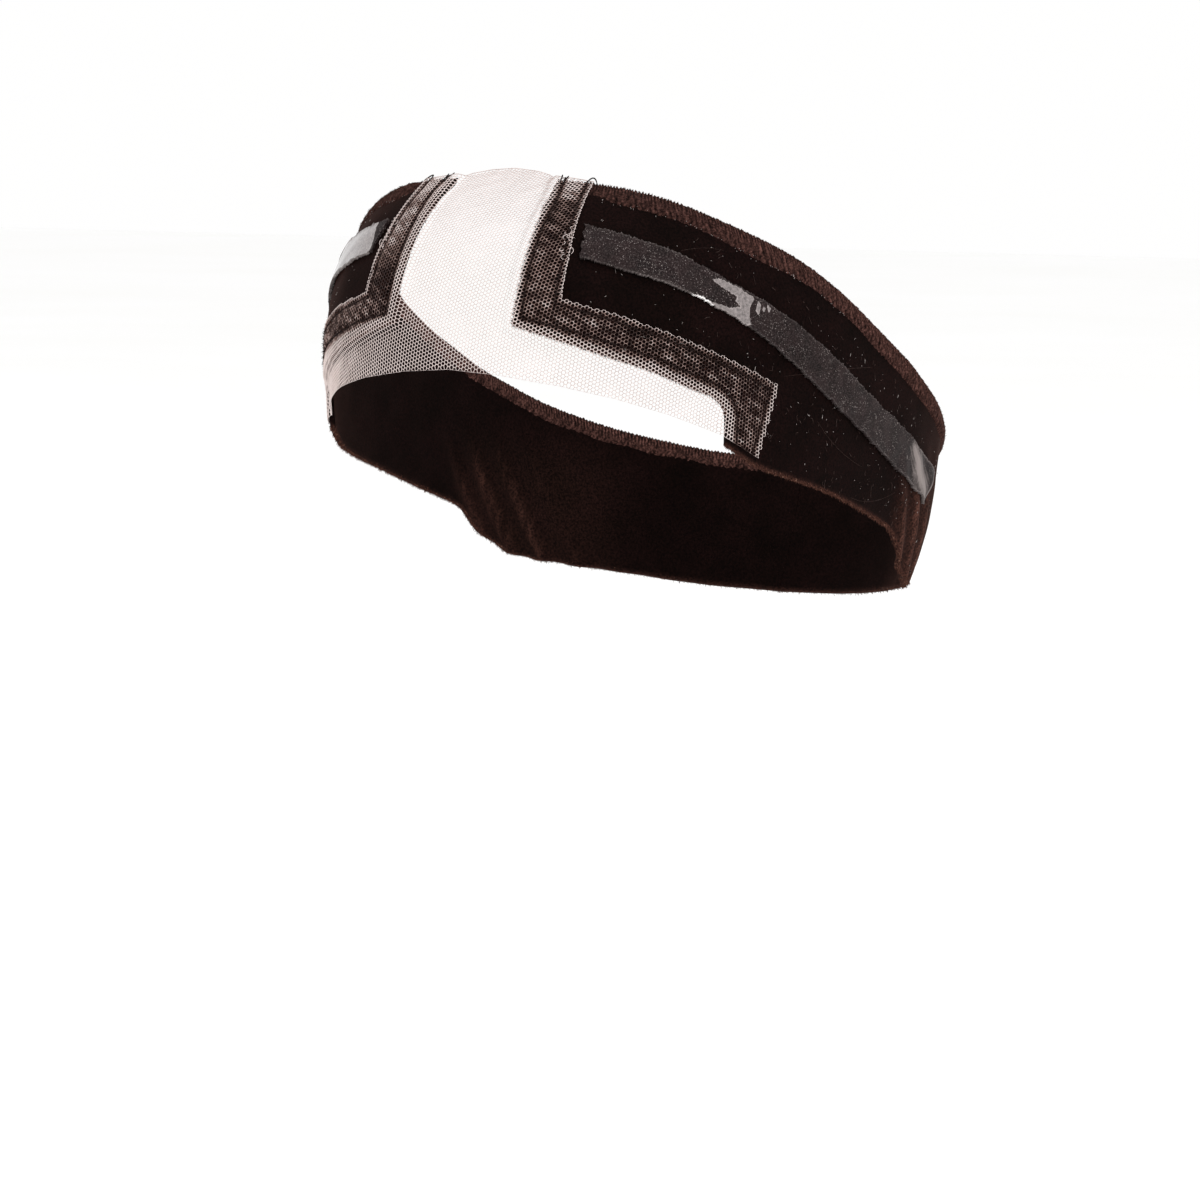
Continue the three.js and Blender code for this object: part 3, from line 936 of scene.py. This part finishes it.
def hem_ring(section, turn, side):
    """Angle, height, lift and rib height of points round the rolled hem."""
    top = wing_top(section)
    outer = change(HEM_OUTER, top[..., 0])
    along = top[..., 0] * DEGREE
    rib = hem_ribs(along, turn, side)
    grow = change(RIB_DEPTH, np.sin(turn)) * (rib - 0.5) + wave("hem_lumps", side)(along, turn)
    lift = (outer + HEM_INNER) / 2 + ((outer - HEM_INNER) / 2 + grow) * np.cos(turn)
    half = hem_height(section) / 2
    height = top[..., 1] - half + (half + grow) * np.sin(turn)
    return top[..., 0], height, lift, rib


def rolled_hem(name, side, material):
    section = wing_columns(HEM_TURN)[:, None] + np.zeros(HEM_RING)
    turn = 2 * pi * np.arange(HEM_RING) / HEM_RING + 0 * section
    angle, z, lift, rib = hem_ring(section, turn, side)
    streaks = RIB_STREAKED + wave("hem_streaks", side)(angle * DEGREE, turn)
    # painted sheen growing towards the back, darker along the top of the roll, and painted shade under the
    # lace
    sheen_rearward = change(RIB_SHEEN_REARWARD, angle)
    under_top = change(RIB_UNDER_TOP, np.sin(turn))
    shade_under_lace = change(RIB_SHADE_UNDER_LACE, angle)
    points = place(side * angle, z, lift)
    ids = np.arange(angle.size).reshape(angle.shape)
    after = np.roll(ids, -1, axis=1)
    blocks = [quads(ids[:-1], ids[1:], after[1:], after[:-1]), ids[:1], ids[-1:, ::-1]]
    if side < 0:
        blocks = [block[:, ::-1] for block in blocks]
    marks = {"rib": rib * streaks * sheen_rearward * under_top * shade_under_lace}
    piece = make_piece(f"rolled_hem_{name}", points.reshape(-1, 3), blocks, material, marks)
    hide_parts(f"hem_{name}")
    return piece


def hem_fuzz(name, side, material):
    """Short pile that lies across the hem, and every way at its foot."""
    random = np.random.default_rng(HEM_FUZZ.seed + side)
    count = HEM_FUZZ.count
    section = random.uniform(1, len(WING) - 1, count)
    turn = random.uniform(*FUZZ_TURNS, count)
    angle, z, lift, _ = hem_ring(section, turn, side)
    roots = place(side * angle, z, lift - FUZZ_SUNK)
    out = form_normal(side * angle, z)
    up = np.array((0.0, 0.0, 1.0))
    outward = out * np.cos(turn)[:, None] + up * np.sin(turn)[:, None]
    across = up * np.cos(turn)[:, None] - out * np.sin(turn)[:, None]
    stray = np.where(turn < FUZZ_FOOT_BELOW, FUZZ_FOOT_STRAY, FUZZ_STRAY)[:, None]
    directions = across * random.choice((-1, 1), (count, 1)) + FUZZ_OUTWARD * outward
    directions += stray * random.normal(0, 1, directions.shape)
    lengths = random.uniform(HEM_FUZZ.shortest, HEM_FUZZ.longest, count)
    lengths *= np.where(turn > FUZZ_TOP_ABOVE, FUZZ_TOP_SHARE, 1.0)
    return fibres(f"hem_pile_{name}", side, roots, directions, lengths, HEM_FUZZ, material)


def edge_fringe(name, side, material):
    """Pile that stands past the wing's lower edge and past its front edge."""
    random = np.random.default_rng(EDGE_FRINGE.seed + side)
    count = EDGE_FRINGE.count
    low = wing_low(random.uniform(0, len(WING) - 1, count))
    front_share = random.uniform(0, FRONT_FRINGE_REACH, (FRONT_FRINGE, 1))
    front = mix(np.array(WING[0].low), np.array(WING[0].top), front_share)
    spots = np.concatenate([low + random.uniform(*FRINGE_BOX, (count, 2)),
                            front + random.uniform(*FRONT_FRINGE_BOX, (FRONT_FRINGE, 2))])
    angle = side * spots[:, 0]
    z = spots[:, 1]
    roots = place(angle, z, random.uniform(VELVET_INNER, VELVET_OUTER, len(spots)))
    middle_ward = unit(form_point(angle - side * PROBE, z) - form_point(angle, z))
    past = np.where((np.arange(len(spots)) < count)[:, None], np.array((0, 0, -1.0)), middle_ward)
    directions = past + form_normal(angle, z) * random.uniform(0.0, 1.0, (len(spots), 1))
    directions += random.normal(0, FRINGE_STRAY, directions.shape)
    lengths = random.uniform(EDGE_FRINGE.shortest, EDGE_FRINGE.longest, len(spots))
    return fibres(f"velvet_fringe_{name}", side, roots, directions, lengths, EDGE_FRINGE, material)


# Lace

LEVELS = np.linspace(-FLAT_LEVEL, FLAT_LEVEL, FLAT_STEPS)
ARC = np.concatenate([[0], np.cumsum(np.hypot(np.diff(LEVELS), FLAT_REACH * np.diff(level_scale(LEVELS))))])
ARC -= np.interp(0, LEVELS, ARC)


def flat_of(angle, z):
    """Place on the lace laid flat, in millimetres."""
    return np.stack([np.radians(angle) * FLAT_REACH * level_scale(z), np.interp(z, LEVELS, ARC)], axis=-1)


def spot_of(flat):
    """Angle and height of a place on the flat lace."""
    z = np.interp(flat[..., 1], ARC, LEVELS)
    return np.degrees(flat[..., 0] / FLAT_REACH / level_scale(z)), z


def flat_line(points):
    points = np.array(points, float)
    return flat_of(points[:, 0], points[:, 1])


def mirror_line(points):
    """A line from the middle and its mirror image, as one line across the front."""
    return flat_line([(-angle, z) for angle, z in points[:0:-1]] + points)


LACE_HALF = LACE_TOP[:-1] + LACE_CUT[:-1] + LACE_LOW
LACE_OUTLINE = flat_line(LACE_HALF + [(-angle, z) for angle, z in LACE_HALF[-2:0:-1]])
VELVET_LINE = flat_line(VELVET_EDGE)
VELVET_PATCH = flat_line(VELVET_EDGE + VELVET_BEYOND)
CUT_LINE = flat_line(LACE_CUT)
UPRIGHT_CUT = CUT_LINE[:UPRIGHT_POINTS]
SLOPE_CUT = CUT_LINE[UPRIGHT_POINTS - 1:-1]
STEP_EDGE = CUT_LINE[-2:]
CLEAN_EDGES = [mirror_line(LACE_TOP), mirror_line(LACE_LOW[::-1])]
ROUGH_EDGES = [UPRIGHT_CUT, UPRIGHT_CUT * (-1, 1), SLOPE_CUT, SLOPE_CUT * (-1, 1)]
SEAM_LINE = inset(VELVET_LINE, SEAM_INSETS)
CUT_SEAM = inset(CUT_LINE, [-depth for depth in CUT_INSETS])


def mirrored(places):
    """Places folded onto the lace's left half."""
    return np.stack([np.abs(places[..., 0]), places[..., 1]], axis=-1)


def near_seams(half, width):
    """One on a seam, fading to nothing beside it."""
    return np.exp(-((np.minimum(distance(SEAM_LINE, half), distance(CUT_SEAM, half)) / width) ** 2))


def net_lift(places):
    """How far the lace stands out where it lies free, on velvet, or in a seam's groove."""
    half = mirrored(places)
    depth = distance(VELVET_LINE, half) * np.where(inside(VELVET_PATCH, half), 1, -1)
    swell = wave("lace")(places[..., 0], places[..., 1])
    return change(NET_LIFT, depth) + swell - NET_GROOVE * near_seams(half, NET_GROOVE_WIDTH)


def net_cover_and_shade(places):
    """How far the lace is darkened, from none to all: pile of the velvet over it, with painted shade in fold
    streaks and seam grooves.
    """
    half = mirrored(places)
    angle, z = spot_of(half)
    between = smooth(distance(VELVET_LINE, half), *COVER_FROM_VELVET)
    between = between * smooth(distance(CUT_LINE, half), *COVER_FROM_CUT)
    between = between * smooth(distance(STEP_EDGE, half), *COVER_FROM_STEP)
    amount = np.interp(z, [row.z for row in COVERS], [row.share for row in COVERS])
    # leaning streaks of painted shadow, as from folds
    for streak in SHADOW_STREAKS:
        lean = radians(streak.lean)
        along = STREAK_ALONG * (places @ (cos(lean), sin(lean)))
        across = STREAK_ACROSS * (places @ (-sin(lean), cos(lean)))
        depth = mix(streak.depth, streak.upright_depth, smooth(z, *STREAK_UPRIGHT))
        amount = amount + depth * ripple(streak.seed, streak.size)(along, across)
    for patch in PATCHES:
        away = np.hypot((angle - patch.angle) * DEGREE / patch.across, (z - patch.z) / patch.down)
        amount = amount + patch.amount * np.exp(-away ** 2) * (places[..., 0] * patch.side > 0)
    # painted shade in the seams' grooves
    covered_and_shaded = np.maximum(between * np.clip(amount, 0, 1), SEAM_SHADE_STRENGTH * near_seams(half, SEAM_SHADE))
    return np.where(inside(VELVET_PATCH, half), covered_and_shaded, 0)


def on_lace(flat):
    """Angle, height and lift of places on the flat lace."""
    return *spot_of(flat), net_lift(flat)


def net_places(places, rise):
    angle, z, lift = on_lace(places)
    return place(angle, z, lift + rise)


def net_cells():
    """Centres of the net's holes that lie within the lace, on the flat sheet."""
    steps = np.arange(-NET_REACH, NET_REACH + 1)
    column, row = np.meshgrid(steps, steps, indexing="ij")
    centres = np.stack([column + (row % 2) / 2, row * sqrt(3) / 2], axis=-1).reshape(-1, 2) * NET_PITCH
    turn = radians(NET_TURN)
    turned = centres @ np.array([(cos(turn), sin(turn)), (-sin(turn), cos(turn))])
    return turned[inside(LACE_OUTLINE, turned)]


def net_knots():
    """Knots where the threads meet, and the six knots round each hole."""
    corner_turn = radians(NET_TURN + 30) + radians(60) * np.arange(6)
    spokes = np.stack([np.cos(corner_turn), np.sin(corner_turn)], axis=-1) * NET_PITCH / sqrt(3)
    every = (net_cells()[:, None] + spokes).reshape(-1, 2)
    keys = np.round(every / (KNOT_MERGE * NET_PITCH)).astype(int)
    _, first, number = np.unique(keys, axis=0, return_index=True, return_inverse=True)
    return every[first], number.reshape(-1, 6)


def clean_cut(knots, border):
    """Moves border knots onto the edges that are cut clean, and part of the way to the rougher ones."""
    moved = knots.copy()
    on_border = np.zeros(len(knots), bool)
    on_border[border] = True
    for lines, share in ((ROUGH_EDGES, ROUGH_SHARE), (CLEAN_EDGES, 1.0)):
        for line in lines:
            gap, spot = nearest(line, knots)
            close = on_border & (gap < NET_SNAP)
            moved[close] = mix(knots[close], spot[close], share)
    return moved


def lace_net(material):
    knots, top = net_knots()
    top_next = np.roll(top, -1, axis=1)
    edges = np.sort(np.stack([top, top_next], axis=-1).reshape(-1, 2), axis=1)
    _, where, count = np.unique(edges, axis=0, return_inverse=True, return_counts=True)
    alone = count[where.ravel()] == 1
    knots = clean_cut(knots, edges[alone].ravel())
    corners = knots[top]
    centres = corners.mean(axis=1, keepdims=True)
    lapped = inside(VELVET_PATCH, mirrored(centres))
    hole_size = np.where(lapped, mix(NET_HOLE_LAPPED, NET_HOLE_COVERED, net_cover_and_shade(centres)), NET_HOLE)
    holes = mix(centres, corners, hole_size[..., None]).reshape(-1, 2)
    bottom = top + len(knots)
    bottom_next = np.roll(bottom, -1, axis=1)
    hole = 2 * len(knots) + np.arange(len(holes)).reshape(-1, 6)
    hole_next = np.roll(hole, -1, axis=1)
    over = quads(top, top_next, hole_next, hole)
    under = quads(bottom, hole, hole_next, bottom_next)
    border = quads(bottom, bottom_next, top_next, top)[alone]
    levels = ((knots, NET_HALF_HEIGHT), (knots, -NET_HALF_HEIGHT), (holes, 0.0))
    points = np.concatenate([net_places(places, rise) for places, rise in levels])
    marks = {"covered_and_shaded": net_cover_and_shade(np.concatenate([places for places, _ in levels]))}
    piece = make_piece("lace_net", points, [over, under, border], material, marks)
    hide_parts("lace_front")
    return piece


def stitch_curves(seam, on_sheet):
    """An arched curve for each stitch along a flat seam, on the sheet that the function given lays out."""
    middle = along_line(seam, STITCH_PITCH)
    share = np.linspace(-0.5, 0.5, STITCH.points)
    arch = STITCH_LIFT * (1 - (2 * share) ** STITCH_FLATNESS)
    curves = []
    for centre, step in zip(middle, unit(np.gradient(middle, axis=0))):
        angle, z, lift = on_sheet(centre + share[:, None] * STITCH_LENGTH * step)
        curves.append((angle, z, lift + arch))
    return curves


def seam_stitches(name, side, material):
    """Dark stitches that sew the lace to the velvet along its edge and along the cut, with loose ends."""
    curves = stitch_curves(SEAM_LINE, on_lace) + stitch_curves(CUT_SEAM, on_lace)
    for end in THREAD_ENDS:
        curves.append((*bent_line(end.start, end.bend, end.end, THREAD_END_POINTS), NET_ON_VELVET))
    return threads(f"seam_stitches_{name}", side, curves, STITCH, material)


def cut_cord(name, side, material):
    """Pale loops down the lace's upright cut, one for each row of holes."""
    random = np.random.default_rng(CORD.seed + side)
    middle = along_line(UPRIGHT_CUT, NET_PITCH)
    sweep = np.linspace(-pi / 2, pi / 2, CORD.points)
    curves = []
    for centre, step in zip(middle, unit(np.gradient(middle, axis=0))):
        reach = random.uniform(*CORD_REACH) * step
        bulge = random.uniform(*CORD_BULGE) * np.array((-step[1], step[0]))
        flat = centre + np.sin(sweep)[:, None] * reach + np.cos(sweep)[:, None] * bulge
        curves.append((*spot_of(flat), NET_ON_VELVET + CORD_LIFT))
    return threads(f"cut_cord_{name}", side, curves, CORD, material)


def frayed_loops(name, side, material):
    """Loose curls of lace thread at the cut, beside the strip's front end."""
    random = np.random.default_rng(LOOP.seed + side)
    (top_angle, top_z), (foot_angle, foot_z) = LACE_CUT[:2]
    curves = []
    for _ in range(LOOP_COUNT):
        z = random.uniform(*LOOP_LEVELS)
        angle = mix(top_angle, foot_angle, (top_z - z) / (top_z - foot_z))
        centre = flat_of(np.array(angle), np.array(z)) + random.uniform(*LOOP_BOX)
        sweep = random.uniform(0, 2 * pi) + np.linspace(0, random.uniform(*LOOP_SWEEP), LOOP.points)
        size = random.uniform(*LOOP_SIZE) * np.linspace(1.0, random.uniform(*LOOP_GROWTH), LOOP.points)
        flat = centre + size[:, None] * np.stack([np.cos(sweep), np.sin(sweep)], axis=-1)
        lift = NET_ON_VELVET + CORD_LIFT + np.linspace(0, random.uniform(*LOOP_RISE), LOOP.points)
        curves.append((*spot_of(flat), lift))
    return threads(f"frayed_loops_{name}", side, curves, LOOP, material)


def pile_through_lace(name, side, material):
    """Velvet pile that lies over the lace where it laps the wing."""
    random = np.random.default_rng(LAP_PILE.seed + side)
    tries = LAP_PILE.count * LAP_PILE_TRIES
    x = random.uniform(*LAP_PILE_ACROSS, tries)
    places = np.stack([x, random.uniform(*LAP_PILE_UP, tries)], axis=-1)
    lapped = inside(LACE_OUTLINE, places) & inside(VELVET_PATCH, places)
    wanted = lapped & (random.uniform(size=tries) < net_cover_and_shade(places * (side, 1)) ** 2)
    places = places[wanted][:LAP_PILE.count]
    angle, z = spot_of(places)
    roots = place(side * angle, z, random.uniform(*LAP_PILE_LIFT, len(places)))
    out = form_normal(side * angle, z)
    directions = LAP_PILE_OUT * out + np.array(LAP_PILE_HANG) + random.normal(0, LAP_PILE_STRAY, roots.shape)
    lengths = random.uniform(LAP_PILE.shortest, LAP_PILE.longest, len(places))
    return fibres(f"lapped_pile_{name}", side, roots, directions, lengths, LAP_PILE, material)


# Grip strips, hairs, lint and fastening

grip_upper = edge_through([row.upper for row in GRIP])
grip_lower = edge_through([row.lower for row in GRIP])


def strip_depth(outline, places):
    """How far each place of a strip lies within an outline, below zero outside it."""
    polygon = np.array(outline) * GRIP_FLAT
    closed = np.concatenate([polygon, polygon[:1]])
    return distance(closed, places) * np.where(inside(polygon, places), 1, -1)


def shine_at(name, side, places):
    """Which places of a strip are shiny and painted with highlight, from none to all, with uneven borders.
    """
    uneven = wave("shine_border", side)(places[..., 0], places[..., 1])
    depth = np.max([strip_depth(outline, places) for outline in SHINE[name]], axis=0)
    return smooth(depth + uneven, *SHINE_BORDER)


def strip_marks(name, side, share, across, rim):
    """Where a strip is shiny, hazy, and where highlight is painted: on its shiny places, its hazy tip, along
    its rim, and as a white glint.
    """
    along = share * GRIP_FLAT[0]
    # painted highlight along the rim, strongest along the front of the lower edge, in beads
    pale = smooth(share, *RIM_HIGHLIGHT_FROM) * (1 - smooth(share, *RIM_HIGHLIGHT_UNTIL))
    rim_highlight = RIM_DULL + RIM_HIGHLIGHT * pale * (across < 0.5) + change(RIM_TIP, share)
    beads = 1 - RIM_BEAD_DEPTH + RIM_BEAD_DEPTH * np.cos(2 * pi * along / RIM_BEAD)
    rim_highlight = beads * (rim_highlight + wave("strip_rim", side)(along, across))
    places = np.stack([share, across], axis=-1) * GRIP_FLAT
    aside = places @ (-sin(HAZE_LEAN), cos(HAZE_LEAN))
    haze_and_highlight = strip_depth(HAZE_TIP, places) + wave("haze_and_highlight", side)(along, aside)
    return {
        "gloss_and_painted_highlight": shine_at(name, side, places),
        "haze_and_highlight": smooth(haze_and_highlight, *HAZE_BORDER),
        "rim": np.maximum(np.clip(rim * rim_highlight, 0, 1), change(RIM_END, share)),
        "painted_glint": smooth(strip_depth(GLINT_RIM, places), *GLINT_BORDER) * (side > 0),
    }


def grip_strip(name, side, material):
    last = len(GRIP) - 1
    section = np.linspace(0, last, last * GRIP_SPANS + 1)[:, None] + np.zeros(GRIP_ROWS + 1)
    across = np.linspace(0, 1, GRIP_ROWS + 1) + 0 * section
    share = section / last
    along = share * GRIP_FLAT[0]
    shift = 0
    for title in ("strip_nicks", "strip_notches"):
        edge = wave(title, side)
        lower = edge(along, GRIP_EDGES_APART + 0 * along)
        shift = shift + mix(lower, edge(along, 0 * along), across)
    end_shift = wave("strip_end", side)(across * GRIP_FLAT[1], 0 * across)
    section = section + end_shift * (1 - smooth(share, *GRIP_FRONT_END))
    spot = mix(grip_lower(section), grip_upper(section), (across + shift)[..., None])
    rim = np.abs(2 * across - 1) ** GRIP_RIM_POWER
    swell = wave("strip_swell", side)(along, across)
    lifted = change(GRIP_LIFT, share)
    lifts = (GRIP_INNER + swell / 2 + lifted, GRIP_OUTER + GRIP_RIM * rim + swell + lifted)
    piece = wall_piece(f"grip_strip_{name}", (spot[..., 0], spot[..., 1]), lifts, material, side,
                       marks=strip_marks(name, side, share, across, rim))
    soften_rim(piece, GRIP_BEVEL, GRIP_BEVEL_STEPS)
    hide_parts(f"silicone_{name}")
    return piece


def fine_hairs(name, side, material):
    """Long hairs that lie on the velvet, each rising over what lies under its middle."""
    rise = np.minimum(HAIR_CLIMB * np.sin(np.linspace(0, pi, LONG_HAIR.points)), 1)
    curves = []
    for hair in HAIRS:
        line = bent_line(hair.start, hair.middle, hair.end, LONG_HAIR.points)
        curves.append((*line, mix(HAIR_LIFT, hair.lift, rise)))
    return threads(f"fine_hairs_{name}", side, curves, LONG_HAIR, material)


def loose_hairs(name, side, material):
    """Short bent hairs that cling to the velvet behind the lace."""
    random = np.random.default_rng(LOOSE_HAIR.seed + side)
    curves = []
    for _ in range(LOOSE_HAIRS):
        section = np.array(random.uniform(*LOOSE_HAIR_SECTIONS))
        start = np.array(wing_spots(section, np.array(random.uniform(*LOOSE_HAIR_SHARES))))
        bend = start + random.normal(0, LOOSE_HAIR_BEND)
        end = bend + random.normal(0, LOOSE_HAIR_BEND)
        curves.append((*bent_line(start, bend, end, LOOSE_HAIR.points), HAIR_LIFT))
    return threads(f"loose_hairs_{name}", side, curves, LOOSE_HAIR, material)


def lint(name, side, material):
    """Short pale fibres and specks that cling to the velvet, to the foot of the hem and to the strip."""
    random = np.random.default_rng(LINT_FIBRE.seed + side)
    steps = np.linspace(-0.5, 0.5, LINT_FIBRE.points)
    curves = []
    for row in LINT_PLACES:
        for _ in range(row.count):
            share = np.array(random.uniform(*LINT_SHARES))
            section = np.array(random.uniform(*row.sections))
            size = LINT_SIZES[0]
            if row.where == "strip":
                angle, z = mix(grip_lower(section), grip_upper(section), share)
            elif row.where == "hem":
                angle, z = wing_spots(section, np.array(1.0))
                z = z - HEM_LAP + random.normal(0, LINT_HEM_SPREAD)
            else:
                angle, z = wing_spots(section, share)
            if row.where != "hem":
                size = random.choice(LINT_SIZES, p=LINT_CHANCES)
            turn = random.uniform(0, 2 * pi)
            bend = random.normal(0, LINT_BEND)
            shift = size * (steps + bend * steps ** 2)
            angles = angle + shift * cos(turn) / DEGREE
            heights = z + shift * sin(turn) + size * bend * (0.25 - steps ** 2) * cos(turn)
            curves.append((angles, heights, row.lift))
    return threads(f"lint_{name}", side, curves, LINT_FIBRE, material)


def tab_reach(offset):
    """Half height of the tab at each offset from its middle, with round corners."""
    into = np.maximum(np.abs(offset) - (TAB_HALF_TURN - TAB_CORNER_TURN), 0) / TAB_CORNER_TURN
    return TAB_HALF_HEIGHT - TAB_CORNER * (1 - np.sqrt(np.maximum(1 - into ** 2, 0)))


def fastening_tab(material):
    offset = np.linspace(-TAB_HALF_TURN, TAB_HALF_TURN, TAB_COLUMNS + 1)[:, None] + np.zeros(TAB_ROWS + 1)
    spots = (TAB_MIDDLE + offset, TAB_LEVEL + tab_reach(offset) * np.linspace(-1, 1, TAB_ROWS + 1))
    piece = wall_piece("fastening_tab", spots, (TAB_INNER, TAB_OUTER), material)
    soften_rim(piece, TAB_BEVEL)
    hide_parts("closure")
    return piece


def tab_stitches(material):
    """Stitches round the tab, a little within its edge."""
    sweep = np.linspace(-pi / 2, pi / 2, TAB_COLUMNS)
    reach = (TAB_HALF_TURN - TAB_SEAM_INSET / DEGREE) * np.sin(sweep)
    upper = np.stack([reach * DEGREE, tab_reach(reach) - TAB_SEAM_INSET], axis=-1)
    outline = np.concatenate([upper, upper[::-1] * (1, -1), upper[:1]])

    def on_tab(flat):
        return TAB_MIDDLE + flat[:, 0] / DEGREE, TAB_LEVEL + flat[:, 1], TAB_OUTER - TAB_SEAM_SUNK

    return threads("tab_stitches", 1, stitch_curves(outline, on_tab), STITCH, material)


# Stage

def towards(azimuth, elevation):
    turn, rise = radians(azimuth), radians(elevation)
    return Vector((sin(turn) * cos(rise), -cos(turn) * cos(rise), sin(rise)))


def add_camera():
    back = towards(VIEW_AZIMUTH, VIEW_ELEVATION)
    roll = radians(VIEW_ROLL)
    level_right = Vector((0, 0, 1)).cross(back).normalized()
    level_up = back.cross(level_right)
    right = cos(roll) * level_right + sin(roll) * level_up
    up = cos(roll) * level_up - sin(roll) * level_right
    data = bpy.data.cameras.new("camera")
    data.sensor_width = SENSOR_MM
    data.lens = FOCAL_PIXELS / FRAME_PIXELS * SENSOR_MM
    camera = add_object("camera", data)
    place_at = back * VIEW_DISTANCE - right * ORIGIN_RIGHT - up * ORIGIN_ABOVE
    camera.matrix_world = Matrix.Translation(place_at) @ Matrix((right, up, back)).transposed().to_4x4()
    bpy.context.scene.camera = camera


def add_light(lamp):
    data = bpy.data.lights.new(lamp.name, "AREA")
    data.shape = "DISK"
    data.size = lamp.size
    data.energy = lamp.power
    light = add_object(lamp.name, data)
    way = towards(lamp.azimuth, lamp.elevation)
    light.location = way * lamp.distance
    light.rotation_euler = way.to_track_quat("Z", "Y").to_euler()


def add_stage():
    mesh = bpy.data.meshes.new("floor")
    corners = [(x * FLOOR_HALF, y * FLOOR_HALF, FLOOR_LEVEL) for x, y in FLOOR_CORNERS]
    mesh.from_pydata(corners, [], [range(len(corners))])
    mesh.materials.append(floor_finish())
    floor = add_object("floor", mesh)
    world = bpy.data.worlds.new("studio")
    world.use_nodes = True
    backdrop = world.node_tree.nodes["Background"]
    backdrop.inputs["Color"].default_value = BACKDROP
    backdrop.inputs["Strength"].default_value = 1.0
    bpy.context.scene.world = world
    bpy.context.scene.view_settings.view_transform = "Standard"
    for lamp in LAMPS:
        add_light(lamp)


add_camera()
add_stage()
VELVET = velvet_finish()
HEM = hem_finish()
PILE = strand_finish("pile", (16, 8, 7), (38, 22, 18), (88, 57, 47))
HEM_PILE = strand_finish("hem_pile", (18, 9, 8), (54, 34, 30), (112, 84, 77))
HAIR = strand_finish("hair", (34, 25, 23), (62, 52, 49), (96, 87, 83))
FRINGE = strand_finish("fringe", (38, 23, 19), (84, 54, 45), (165, 126, 108))
LACE = lace_finish()
SILICONE = silicone_finish()
THREAD = thread_finish()
LINT = lint_finish()

net = lace_net(LACE)
for name, side in SIDES:
    wing = velvet_wing(name, side, VELVET)
    hem = rolled_hem(name, side, HEM)
    hem_pile = hem_fuzz(name, side, HEM_PILE)
    fringe = edge_fringe(name, side, FRINGE)
    lapped = pile_through_lace(name, side, PILE)
    seam_stitches(name, side, THREAD)
    cut_cord(name, side, LACE)
    frayed_loops(name, side, LACE)
    grip_strip(name, side, SILICONE)
    lint(name, side, LINT)
    fine_hairs(name, side, HAIR)
    loose_hairs(name, side, HAIR)
tab = fastening_tab(fastening_finish())
tab_seam = tab_stitches(THREAD)
